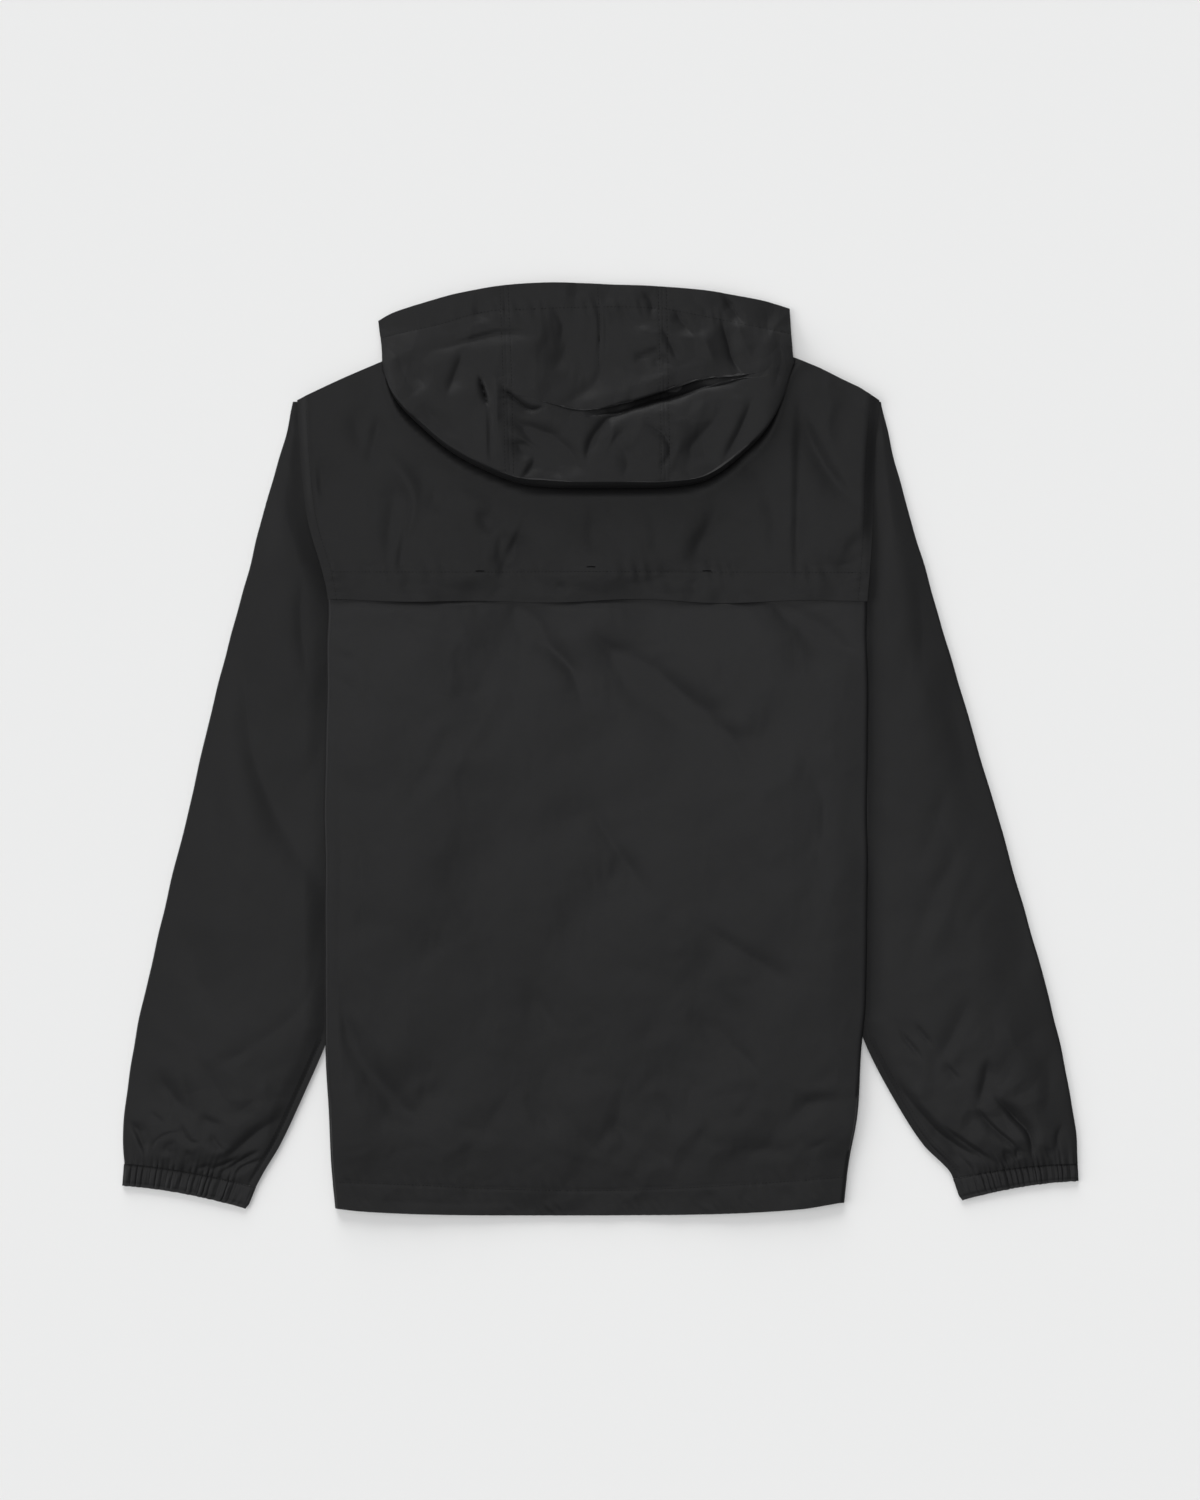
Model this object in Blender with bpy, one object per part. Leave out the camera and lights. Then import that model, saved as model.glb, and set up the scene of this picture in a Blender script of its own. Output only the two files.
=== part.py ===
"""Hooded windbreaker jacket, laid flat with its back upwards on the plane z = 0.

Sizes and places are in millimetres and become metres where a mesh is made.
+X is to the wearer's right as seen from above, +Y runs from hem to hood, +Z is up.
A cloth wall is worked out as a path in a cross section, moved out to both its faces.
"""

from collections import namedtuple
from math import cos, hypot, pi, sin

import bmesh
import bpy

MM = 0.001

# Driving dimensions of the cloth.
CLOTH = 1.1
GAP = 0.3
PLY = CLOTH + GAP
HALF = CLOTH / 2.0

# The middle of the laid jacket, which the origin lies beneath.
MIDDLE_X = 0.3
MIDDLE_Y = 0.605

# Driving dimensions of the jacket: the places that its pieces are set out from.
ZIP_X = -3.0
SHOULDER_Y = 292.0
YOKE_SEAM_Y = 153.0
FLAP_Y = 124.0
HEM_Y = -388.0
HEM_CURVE_Y = -260.0
NECK_CURVE_Y = 185.0
TUCK = 62.0
SLEEVE_LIFT = 2.0 * PLY
BODY_LOFT = 1.5
SLEEVE_LOFT = 2.2

# Driving dimensions of the folds of the body and the sleeves.
SMALL_FOLD = PLY / 2.0
SIDE_FOLD = 3.0 * PLY / 2.0
YOKE_OVERHANG = 1.6
FLAT_LOFT = 0.6

# Driving dimensions of the cuffs: gathers, the wall of the band and its bowed seam.
CUFF_WAVES = 20
CUFF_WAVE_HEIGHT = 0.9
CUFF_WALL = 1.2
CUFF_INSIDE = 0.5
CUFF_BOW = 3.0
CUFF_CORNER = 1.1 * CUFF_WALL

# Driving dimensions of the zip: half widths and heights, then the slider and the pull,
# each as its width, length and thickness.
ZIP_EDGE = 12.0
CHAIN_HALF = 3.0
CHAIN_THICK = 1.6
TAPE_THICK = 1.0
ZIP_BOTTOM_Y = HEM_Y + 6.0
ZIP_RISE_Y = 308.0
ZIP_TOP_Y = 350.0
SLIDER = (8.0, 12.0, 3.0)
SLIDER_BEVEL = 2.0
SLIDER_EDGE = 2.2
PULL = (5.0, 28.0, 0.9)
PULL_HOLD = 9.0
PULL_RISE = 1.2

# The visible edge of the body: armhole seam above the flap, side fold below it.
Edge = namedtuple("Edge", "y left right")
BODY_EDGE = (
    Edge(300.0, -252.9, 233.6),
    Edge(260.0, -250.8, 230.3),
    Edge(226.0, -248.3, 228.3),
    Edge(190.0, -243.3, 227.2),
    Edge(147.0, -230.8, 224.5),
    Edge(123.0, -226.7, 222.5),
    Edge(80.0, -227.5, 223.0),
    Edge(0.0, -228.8, 223.3),
    Edge(-83.0, -229.2, 223.3),
    Edge(-208.0, -229.2, 221.7),
    Edge(-246.0, -229.0, 218.3),
    Edge(-308.0, -226.7, 214.2),
    Edge(-350.0, -224.2, 208.3),
    Edge(-392.0, -221.0, 203.0),
)

# The outer fold of each sleeve, from the shoulder tip to the cuff seam.
SLEEVE_OUTER = (
    Edge(290.0, -256.4, 234.6),
    Edge(254.0, -265.0, 242.5),
    Edge(212.0, -276.8, 254.2),
    Edge(129.0, -299.2, 277.5),
    Edge(46.0, -320.8, 302.5),
    Edge(-38.0, -340.8, 326.7),
    Edge(-121.0, -360.8, 350.8),
    Edge(-204.0, -380.0, 374.2),
    Edge(-246.0, -388.9, 384.2),
    Edge(-288.0, -395.0, 392.5),
    Edge(-320.0, -398.3, 397.5),
    Edge(-348.0, -397.0, 398.6),
)

# The inner fold of each sleeve, most of it beneath the body.
SLEEVE_INNER = (
    Edge(290.0, -250.0, 230.8),
    Edge(226.0, -245.6, 225.6),
    Edge(190.0, -240.6, 224.5),
    Edge(147.0, -228.1, 221.8),
    Edge(120.0, -206.0, 198.0),
    Edge(90.0, -184.0, 177.0),
    Edge(50.0, -168.0, 161.0),
    Edge(0.0, -171.0, 165.0),
    Edge(-83.0, -184.0, 180.0),
    Edge(-150.0, -200.0, 196.0),
    Edge(-208.0, -216.0, 209.5),
    Edge(-246.0, -229.2, 221.9),
    Edge(-288.0, -247.5, 243.5),
    Edge(-329.0, -266.7, 269.5),
    Edge(-352.0, -280.5, 292.0),
    Edge(-367.0, -288.5, 297.0),
)

# How far the hem dips and the shoulder and neck lines rise, by x.
Line = namedtuple("Line", "x y")
HEM_LINE = (
    Line(-222.0, 6.0),
    Line(-200.0, 3.5),
    Line(-150.0, 1.0),
    Line(-90.0, 0.0),
    Line(30.0, 0.0),
    Line(100.0, 1.2),
    Line(165.0, 5.0),
    Line(200.0, 10.5),
)
BACK_TOP = (
    Line(-253.0, 291.5),
    Line(-233.0, 301.0),
    Line(-217.0, 308.5),
    Line(-200.0, 316.0),
    Line(-181.0, 324.0),
    Line(-150.0, 336.0),
    Line(-97.0, 352.0),
    Line(-50.0, 344.0),
    Line(0.0, 340.0),
    Line(50.0, 344.0),
    Line(90.0, 352.0),
    Line(130.0, 341.0),
    Line(162.0, 327.0),
    Line(183.0, 318.5),
    Line(200.0, 310.0),
    Line(217.0, 302.0),
    Line(234.0, 291.0),
)
FRONT_NECK = (
    Line(-110.0, 350.0),
    Line(-80.0, 315.0),
    Line(-50.0, 290.0),
    Line(-15.0, 278.0),
    Line(9.0, 278.0),
    Line(45.0, 290.0),
    Line(75.0, 315.0),
    Line(105.0, 350.0),
)

# How far each side of the body is folded under, from the armhole down.
Depth = namedtuple("Depth", "y under")
TUCK_LINE = (
    Depth(300.0, 8.0),
    Depth(153.0, 8.0),
    Depth(140.0, 12.0),
    Depth(120.0, 27.0),
    Depth(90.0, 46.0),
    Depth(60.0, 58.0),
    Depth(30.0, TUCK),
    Depth(-400.0, TUCK),
)

# The hood from its left side to its right: the mouth's edge, the outline where it rolls
# under, how high it stands there, and the upper and lower lips of its deep fold.
Hood = namedtuple("Hood", "mouth_x mouth_y roll_x roll_y crown upper lower fold")
HOOD = (
    Hood(-185.0, 358.0, -181.0, 318.0, 8.0, 342.0, 337.0, 0.0),
    Hood(-172.0, 364.5, -170.0, 291.5, 15.0, 331.0, 324.0, 0.0),
    Hood(-150.0, 371.5, -147.0, 267.0, 20.0, 321.0, 312.0, 0.0),
    Hood(-120.0, 380.0, -118.0, 244.0, 24.0, 311.0, 300.0, 0.0),
    Hood(-80.0, 387.0, -74.5, 223.5, 27.0, 299.0, 287.0, 0.0),
    Hood(-48.0, 389.2, -44.0, 218.2, 28.0, 291.0, 280.0, 0.0),
    Hood(-15.0, 389.0, -12.0, 217.3, 28.0, 286.0, 276.0, 1.0),
    Hood(20.0, 387.5, 22.0, 217.5, 28.0, 291.0, 279.0, 13.0),
    Hood(52.0, 386.2, 54.5, 218.2, 27.5, 299.0, 285.5, 17.0),
    Hood(85.0, 383.2, 88.0, 224.0, 26.0, 309.0, 293.0, 16.0),
    Hood(115.0, 378.5, 118.0, 245.0, 22.0, 312.0, 305.0, 5.0),
    Hood(140.0, 373.8, 143.0, 274.0, 17.0, 320.0, 311.0, 0.0),
    Hood(158.3, 368.3, 160.5, 322.0, 8.0, 347.0, 341.0, 0.0),
)
HOOD_LEFT_SEAM = 4
HOOD_RIGHT_SEAM = 8
HOOD_LAST = len(HOOD) - 1
HOOD_SEAT = 3.85
HOOD_RUN_UNDER = 5.0
FOLD_FLOOR = 8.4
FOLD_LIP = 3.0
MOUTH_HEIGHT = 6.0
CASING = 18.0
CHEEK_SHORT = 9.0
CHEEK_END = {"left": -177.0, "right": 154.0}

# The plies hidden in the hood follow these points of its path, each shifted along it.
Inner = namedtuple("Inner", "index shift")
INNER_POINTS = (
    Inner(2, 0.0),
    Inner(4, -4.0),
    Inner(5, -3.0),
    Inner(6, 3.0),
    Inner(7, 4.0),
    Inner(9, 0.0),
    Inner(10, 0.0),
)
INNER_DROP = 1.7
INNER_STEP = 4.0
INNER_FIRST = 1.0
INNER_LAST = HOOD_LAST - 1.1
INNER_REACH = 0.6

# The outer and inner end of each cuff's lower edge.
Cuff = namedtuple("Cuff", "outer_x outer_y inner_x inner_y")
CUFF_HEM = {
    "left": Cuff(-398.6, -363.5, -294.5, -383.0),
    "right": Cuff(399.2, -359.5, 301.0, -376.0),
}

# Broad hollows pressed in the lofted cloth: the two ends, the width and the depth.
Hollow = namedtuple("Hollow", "x0 y0 x1 y1 width depth")
BODY_HOLLOWS = (
    Hollow(-62.0, 120.0, -14.0, 66.0, 26.0, 1.1),
    Hollow(-2.0, 92.0, 104.0, 24.0, 30.0, 1.2),
    Hollow(108.0, 123.0, 209.0, 82.0, 28.0, 1.2),
    Hollow(-212.0, -208.0, -179.0, -317.0, 34.0, 1.0),
)
SLEEVE_HOLLOWS = (
    Hollow(-302.0, 80.0, -300.0, 4.0, 26.0, 1.6),
    Hollow(-300.0, 4.0, -242.0, -123.0, 26.0, 1.6),
    Hollow(-370.0, -271.0, -337.0, -303.0, 12.0, 1.2),
    Hollow(-385.0, -318.0, -378.0, -350.0, 9.0, 1.2),
    Hollow(-346.0, -314.0, -334.0, -350.0, 9.0, 1.0),
    Hollow(-322.0, -350.0, -284.0, -338.0, 9.0, 1.5),
    Hollow(272.0, -130.0, 245.0, -210.0, 26.0, 1.6),
    Hollow(306.0, -200.0, 265.0, -275.0, 22.0, 1.6),
    Hollow(318.0, -255.0, 345.0, -327.0, 16.0, 1.4),
    Hollow(262.0, -295.0, 316.0, -352.0, 16.0, 1.4),
    Hollow(384.0, -314.0, 380.0, -340.0, 9.0, 1.2),
)

# Rows of the body from the shoulder to the flap's seam and from there to the hem.
UPPER_ROWS = (292, 272, 250, 225, 200, 180, 165)
LOWER_ROWS = (
    153, 140, 124, 102, 74, 44, 8, -32, -72,
    -112, -152, -192, -228, -260, -292, -324, -356, -388,
)
YOKE_ROWS = UPPER_ROWS + (YOKE_SEAM_Y, 140, FLAP_Y)
SLEEVE_ROWS = (
    285, 262, 235, 205, 178, 152, 124, 92, 50, 0,
    -50, -100, -150, -200, -240, -275, -303, -326, -345,
)
ZIP_ROWS = (ZIP_BOTTOM_Y, -200, 0, 200, 310, 322, ZIP_TOP_Y)

# Where the columns of each surface lie, as parts of its width, and how many there are.
ACROSS = (0.06, 0.14, 0.25, 0.39, 0.56, 0.77, 1.0)
UNDER_CELLS = 3
FOLD_CELLS = 5
SMALL_FOLD_CELLS = 4
SLEEVE_UNDER_CELLS = 5
SLEEVE_TOP_CELLS = 11
CUFF_UNDER_CELLS = 8
CUFF_CELLS = CUFF_WAVES * 4
PANEL_CELLS = 8
ROLL_CELLS = 5
INNER_CELLS = 12

SLEEVE_END_DROP = {"left": 19.5, "right": 12.5}
SIDES = {"left": 1.0, "right": -1.0}


def smooth(value):
    """Rise from 0 to 1 without a corner as value goes from 0 to 1."""
    value = min(max(value, 0.0), 1.0)
    return value * value * (3.0 - 2.0 * value)


def read(table, at, column):
    """Read a column of a table at a place given in its first column, on a smooth curve."""
    rows = sorted(table, key=lambda row: row[0])
    at = min(max(at, rows[0][0]), rows[-1][0])
    index = 0
    while index < len(rows) - 2 and at > rows[index + 1][0]:
        index += 1
    start, end = rows[index], rows[index + 1]
    before = rows[max(index - 1, 0)]
    after = rows[min(index + 2, len(rows) - 1)]
    span = end[0] - start[0]
    t = (at - start[0]) / span
    here, there = getattr(start, column), getattr(end, column)
    slope_in = (there - getattr(before, column)) / (end[0] - before[0]) * span
    slope_out = (getattr(after, column) - here) / (after[0] - start[0]) * span
    return (
        (2 * t ** 3 - 3 * t ** 2 + 1) * here
        + (t ** 3 - 2 * t ** 2 + t) * slope_in
        + (3 * t ** 2 - 2 * t ** 3) * there
        + (t ** 3 - t ** 2) * slope_out
    )


def straight(table, at, column):
    """Read a column of a table at a place given in its first column, on straight lines."""
    rows = sorted(table, key=lambda row: row[0])
    at = min(max(at, rows[0][0]), rows[-1][0])
    for start, end in zip(rows, rows[1:]):
        if at <= end[0]:
            t = (at - start[0]) / (end[0] - start[0])
            return getattr(start, column) * (1 - t) + getattr(end, column) * t
    return getattr(rows[-1], column)


def hollowed(hollows, x, y):
    """Depth at (x, y) of the deepest of the hollows given."""
    deepest = 0.0
    for hollow in hollows:
        run_x, run_y = hollow.x1 - hollow.x0, hollow.y1 - hollow.y0
        length = hypot(run_x, run_y)
        along = ((x - hollow.x0) * run_x + (y - hollow.y0) * run_y) / length
        beyond = max(-along, along - length, 0.0)
        aside = ((x - hollow.x0) * run_y - (y - hollow.y0) * run_x) / length
        near = 1.0 - hypot(aside, beyond) / hollow.width
        deepest = max(deepest, hollow.depth * smooth(near))
    return deepest


def moved(path, distance):
    """Move a path to its left by a distance, keeping the distance round its corners."""
    result = []
    for index, (s, z) in enumerate(path):
        normals = []
        for a, b in ((index - 1, index), (index, index + 1)):
            if a >= 0 and b < len(path):
                ds, dz = path[b][0] - path[a][0], path[b][1] - path[a][1]
                length = hypot(ds, dz)
                normals.append((-dz / length, ds / length))
        across = [sum(part) / len(normals) for part in zip(*normals)]
        scale = distance / (across[0] ** 2 + across[1] ** 2)
        result.append((s + across[0] * scale, z + across[1] * scale))
    return result


def arc(centre_s, centre_z, radius, start, end, cells):
    """Points on an arc from one angle to another, in half turns, without its ends."""
    points = []
    for step in range(1, cells):
        angle = pi * (start + (end - start) * step / cells)
        points.append((centre_s + radius * cos(angle), centre_z + radius * sin(angle)))
    return points


def material(name, color, roughness, metallic=0.0):
    """A plain Principled material."""
    made = bpy.data.materials.new(name)
    made.use_nodes = True
    shader = made.node_tree.nodes["Principled BSDF"]
    shader.inputs["Base Color"].default_value = (*color, 1.0)
    shader.inputs["Roughness"].default_value = roughness
    shader.inputs["Metallic"].default_value = metallic
    made.diffuse_color = (*color, 1.0)
    return made


def solid(name, points, faces, finish):
    """Make one closed object from points in millimetres and turn its faces outwards."""
    mesh = bpy.data.meshes.new(name)
    set_out = [((x - MIDDLE_X) * MM, (y - MIDDLE_Y) * MM, z * MM) for x, y, z in points]
    mesh.from_pydata(set_out, [], faces)
    shape = bmesh.new()
    shape.from_mesh(mesh)
    bmesh.ops.recalc_face_normals(shape, faces=shape.faces)
    if shape.calc_volume(signed=True) < 0.0:
        bmesh.ops.reverse_faces(shape, faces=shape.faces)
    shape.to_mesh(mesh)
    shape.free()
    mesh.shade_smooth()
    mesh.set_sharp_from_angle(angle=pi / 4)
    mesh.materials.append(finish)
    made = bpy.data.objects.new(name, mesh)
    bpy.context.scene.collection.objects.link(made)
    return made


def wall(name, outer, inner, finish, ring=False):
    """Close two grids of points, row by row, into one wall. A ring joins its row ends."""
    rows, columns = len(outer), len(outer[0])
    points = [point for row in outer for point in row]
    points += [point for row in inner for point in row]
    back = rows * columns

    def at(row, column, side):
        return side * back + row * columns + column % columns

    faces = []
    for row in range(rows - 1):
        for column in range(columns if ring else columns - 1):
            for side in (0, 1):
                near, far = at(row, column, side), at(row + 1, column + 1, side)
                faces.append([near, at(row, column + 1, side), far])
                faces.append([near, far, at(row + 1, column, side)])
        if not ring:
            for column in (0, columns - 1):
                faces.append([
                    at(row, column, 0), at(row + 1, column, 0),
                    at(row + 1, column, 1), at(row, column, 1),
                ])
    for row in (0, rows - 1):
        for column in range(columns if ring else columns - 1):
            faces.append([
                at(row, column, 0), at(row, column + 1, 0),
                at(row, column + 1, 1), at(row, column, 1),
            ])
    return solid(name, points, faces, finish)


def tube(name, rings, finish):
    """Close a row of rings into one solid with a face at each end."""
    count = len(rings[0])
    points = [point for ring in rings for point in ring]
    faces = [list(range(count)), [len(points) - count + i for i in range(count)]]
    for row in range(len(rings) - 1):
        for i in range(count):
            j = (i + 1) % count
            faces.append([
                row * count + i, row * count + j,
                (row + 1) * count + j, (row + 1) * count + i,
            ])
    return solid(name, points, faces, finish)


def inset(y):
    """Distance from the body's visible edge in to the fold of the front."""
    return PLY + YOKE_OVERHANG * smooth((y - 127.0) / 20.0)


def fold_centre(y):
    """Distance from the body's visible edge in to the centre of its side folds."""
    return inset(y) + HALF + SMALL_FOLD


def half_width(side, y):
    """Distance from the body's visible edge to the zip."""
    return abs(read(BODY_EDGE, y, side) - ZIP_X)


def stations(side, y):
    """Distances in from the visible edge that every ply of the body shares."""
    near, under, middle = fold_centre(y), read(TUCK_LINE, y, "under"), half_width(side, y)
    found = [near + (under - near) * step / UNDER_CELLS for step in range(UNDER_CELLS + 1)]
    return found + [under + (middle - under) * part for part in ACROSS]


def curved(x, y_row, top=None):
    """The y of a point of a row, which follows the hem below and the neck above."""
    part = smooth((HEM_CURVE_Y - y_row) / (HEM_CURVE_Y - HEM_Y))
    y = y_row + read(HEM_LINE, x, "y") * part
    if top:
        part = smooth((y_row - NECK_CURVE_Y) / (SHOULDER_Y - NECK_CURVE_Y))
        y += (top(x) - SHOULDER_Y) * part
    return y


def place(side, s, y_row, z, top):
    """Point of the body from its distance in from the visible edge, row and height."""
    x = read(BODY_EDGE, y_row, side) + SIDES[side] * s
    return (x, curved(x, y_row, top), z)


def back_top(x):
    """The shoulder line and the nape."""
    return straight(BACK_TOP, x, "y")


def front_top(x):
    """The shoulder line and the front of the neck."""
    if FRONT_NECK[0].x < x < FRONT_NECK[-1].x:
        return straight(FRONT_NECK, x, "y")
    return back_top(x)


def lift(side, s, y):
    """Height of the body's lowest ply, which lies over the sleeve at the sides."""
    inside = s + abs(read(SLEEVE_INNER, y, side)) - abs(read(BODY_EDGE, y, side))
    over = 1.0 - smooth((inside - 20.0) / 26.0)
    return SLEEVE_LIFT * over * smooth((188.0 - y) / 28.0)


def under_ply(y):
    """Room for the back's tuck beneath the front's."""
    return PLY * smooth((172.0 - y) / 16.0)


def front_height(side, s, y):
    """Height of the under face of the front."""
    inward = smooth((s - read(TUCK_LINE, y, "under") - 2.0) / 42.0)
    return lift(side, s, y) + (under_ply(y) + PLY) * (1.0 - inward)


def back_height(side, s, y):
    """Height of the under face of the back, just above the front with its loft."""
    under = read(TUCK_LINE, y, "under")
    inward = smooth((s - under - 2.0) / 56.0)
    x = read(BODY_EDGE, y, side) + SIDES[side] * s
    loft = BODY_LOFT * smooth((s - under) / 90.0) * smooth((y - HEM_Y) / 40.0)
    loft = max(loft - hollowed(BODY_HOLLOWS, x, y), 0.15 * loft)
    loft = max(loft, FLAT_LOFT * smooth((s - under) / 90.0))
    loft *= 1.0 - 0.45 * smooth((y - 190.0) / 20.0)
    near_zip = 1.0 - smooth((abs(x - ZIP_X) - 8.0) / 45.0)
    loft += PULL_RISE * smooth((y - 235.0) / 15.0) * near_zip
    return lift(side, s, y) + (under_ply(y) + PLY) * (1.0 - inward) + PLY + loft


def front_path(side, y):
    """The front on one row: its tuck, its side fold, and its run to the zip."""
    shared = stations(side, y)
    near = shared[0]
    low = lift(side, near, y) + under_ply(y) + HALF
    path = [(s, lift(side, s, y) + under_ply(y) + HALF) for s in shared[UNDER_CELLS::-1]]
    path += arc(near, low + SMALL_FOLD, SMALL_FOLD, -0.5, -1.5, SMALL_FOLD_CELLS)
    path += [(s, front_height(side, s, y) + HALF) for s in shared[:-1]]
    path.append((shared[-1] - ZIP_EDGE, HALF))
    return path[::-1] if side == "right" else path


def half_back_path(side, y):
    """Half of the lower back on one row: its tuck, its side fold, and its upper run."""
    shared = stations(side, y)
    near = shared[0]
    low = lift(side, near, y) + HALF
    path = [(s, lift(side, s, y) + HALF) for s in shared[UNDER_CELLS::-1]]
    path += arc(near, low + SIDE_FOLD, SIDE_FOLD, -0.5, -1.5, FOLD_CELLS)
    path += [(s, back_height(side, s, y) + HALF) for s in shared]
    return path


def across_body(half_path, y):
    """Join the left half of a path to the right half, in x and z."""
    left = read(BODY_EDGE, y, "left")
    right = read(BODY_EDGE, y, "right")
    path = [(left + s, z) for s, z in half_path("left", y)]
    other = [(right - s, z) for s, z in half_path("right", y)]
    middle = (ZIP_X, (path[-1][1] + other[-1][1]) / 2.0)
    return path[:-1] + [middle] + other[-2::-1]


def flap_wave(x):
    """Waver of the flap's free edge."""
    return 1.1 * sin(x / 21.0) + 0.8 * sin(x / 34.0 + 1.0)


def half_yoke_path(side, y):
    """Half of the yoke on one row, from the armhole to the middle."""
    shared = [0.0] + stations(side, y)
    over_back = (PLY + GAP) * smooth((YOKE_SEAM_Y + 23.0 - y) / 18.0)
    return [(s, back_height(side, max(s, shared[1]), y) + over_back + HALF) for s in shared]


def half_faces(half_path, rows, top=None, wave=False):
    """Both faces of a ply that runs from one side of the body to the other."""
    outer, inner = [], []
    for y in rows:
        path = across_body(half_path, y)
        for faces, distance in ((outer, HALF), (inner, -HALF)):
            row = []
            for x, z in moved(path, distance):
                y_point = curved(x, y, top)
                if wave:
                    y_point += flap_wave(x) * smooth((YOKE_SEAM_Y - y) / 28.0)
                row.append((x, y_point, z))
            faces.append(row)
    return outer, inner


def make_body(cloth):
    """The two fronts, the lower back and the yoke."""
    for side in SIDES:
        outer, inner = [], []
        for y in UPPER_ROWS + LOWER_ROWS:
            path = front_path(side, y)
            for faces, distance in ((outer, HALF), (inner, -HALF)):
                faces.append([place(side, s, y, z, front_top) for s, z in moved(path, distance)])
        wall(f"front_{side}", outer, inner, cloth)
    outer, inner = half_faces(half_back_path, LOWER_ROWS)
    wall("back_lower", outer, inner, cloth)
    outer, inner = half_faces(half_yoke_path, YOKE_ROWS, back_top, wave=True)
    wall("back_yoke", outer, inner, cloth)


def sleeve_line(side, row_y):
    """Outer and inner end of a sleeve's row, which tilts towards the cuff."""
    tilt = SLEEVE_END_DROP[side] * smooth(-row_y / 345.0)
    outer = (read(SLEEVE_OUTER, row_y, side), row_y)
    inner = (read(SLEEVE_INNER, row_y - tilt, side), row_y - tilt)
    return outer, inner


def sleeve_row(side, row_y):
    """A sleeve on one row: bottom run, outer fold and top run, from its outer edge in."""
    outer, inner = sleeve_line(side, row_y)
    width = hypot(inner[0] - outer[0], inner[1] - outer[1])
    along = ((inner[0] - outer[0]) / width, (inner[1] - outer[1]) / width)
    edge_x = read(BODY_EDGE, inner[1], side)
    covered = (edge_x - outer[0]) / along[0]
    covered = min(covered, width - max(1.2, 0.03 * width))
    radius = SMALL_FOLD + 0.6 * smooth((width - 8.0) / 40.0)
    centre = HALF + radius
    cells = SLEEVE_UNDER_CELLS
    path = [(width - (width - centre) * step / cells, HALF) for step in range(cells + 1)]
    path += arc(centre, HALF + radius, radius, -0.5, -1.5, SMALL_FOLD_CELLS)
    hidden = HALF + PLY
    above_cuff = smooth((SLEEVE_ROWS[-1] + 27.0 - row_y) / 27.0)
    ends = smooth(width / 60.0) * (1.0 - 0.35 * above_cuff)
    for step in range(SLEEVE_TOP_CELLS + 1):
        part = step / SLEEVE_TOP_CELLS
        s = centre + (covered - centre) * part
        x = outer[0] + along[0] * s
        y = outer[1] + along[1] * s
        bell = sin(pi * part) ** 1.5 * SLEEVE_LOFT * ends
        bell = max(bell - hollowed(SLEEVE_HOLLOWS, x, y) * sin(pi * part), 0.0)
        base = HALF + 2.0 * radius + (hidden - HALF - 2.0 * radius) * smooth(part)
        path.append((s, base + bell))
    path += [(covered + (width - covered) * step / 2.0, hidden) for step in (1, 2)]
    return outer, along, width, path


def bow(part):
    """Rise of the cuff's seam between its two ends."""
    return CUFF_BOW * 4.0 * part * (1.0 - part)


def make_sleeves(cloth):
    """A sleeve is one ply folded round its outer edge, joined along its inner edge."""
    for side in SIDES:
        outer_face, inner_face = [], []
        for row_y in SLEEVE_ROWS:
            outer, along, width, path = sleeve_row(side, row_y)
            near_cuff = smooth((SLEEVE_ROWS[-1] + 55.0 - row_y) / 55.0)
            for faces, distance in ((outer_face, HALF), (inner_face, -HALF)):
                row = []
                for s, z in moved(path, distance):
                    x = outer[0] + along[0] * s
                    y = outer[1] + along[1] * s + bow(s / width) * near_cuff
                    row.append((x, y, z))
                faces.append(row)
        wall(f"sleeve_{side}", outer_face, inner_face, cloth)


def cuff_ring(seam_to_hem, side):
    """Outer and inner ring of a cuff at a part of the way from its seam to its hem."""
    outer, inner = sleeve_line(side, SLEEVE_ROWS[-1])
    hem = CUFF_HEM[side]
    start_x = outer[0] + (hem.outer_x - outer[0]) * seam_to_hem
    start_y = outer[1] - GAP + (hem.outer_y - outer[1]) * seam_to_hem
    end_x = inner[0] + (hem.inner_x - inner[0]) * seam_to_hem
    end_y = inner[1] - GAP + (hem.inner_y - inner[1]) * seam_to_hem
    corner = CUFF_CORNER / hypot(end_x - start_x, end_y - start_y)
    top = 2.0 * CUFF_WALL + CUFF_INSIDE
    outside, inside = [], []
    for step in range(CUFF_CELLS + 1):
        part = step / CUFF_CELLS
        wave = 0.5 - 0.5 * cos(2.0 * pi * CUFF_WAVES * part)
        s = corner + (1.0 - 2.0 * corner) * part
        outside.append((s, top + CUFF_WAVE_HEIGHT * wave))
        inside.append((s, top - CUFF_WALL))
    outside += [(1.0, 0.65 * top), (1.0, 0.25 * top)]
    inside += [(1.0 - corner, CUFF_WALL + 0.35), (1.0 - corner, CUFF_WALL + 0.15)]
    for step in range(CUFF_UNDER_CELLS + 1):
        s = 1.0 - corner - (1.0 - 2.0 * corner) * step / CUFF_UNDER_CELLS
        outside.append((s, 0.0))
        inside.append((s, CUFF_WALL))
    outside += [(0.0, 0.25 * top), (0.0, 0.65 * top)]
    inside += [(corner, CUFF_WALL + 0.15), (corner, CUFF_WALL + 0.35)]
    rings = []
    for ring in (outside, inside):
        rings.append([
            (start_x + (end_x - start_x) * s, start_y + (end_y - start_y) * s + bow(s), z)
            for s, z in ring
        ])
    return rings


def make_cuffs(cloth):
    """A cuff is a narrow tube of gathered cloth with elastic in it."""
    for side in SIDES:
        outer, inner = zip(*[cuff_ring(t, side) for t in (0.0, 0.5, 1.0)])
        wall(f"cuff_{side}", outer, inner, cloth, ring=True)


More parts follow.
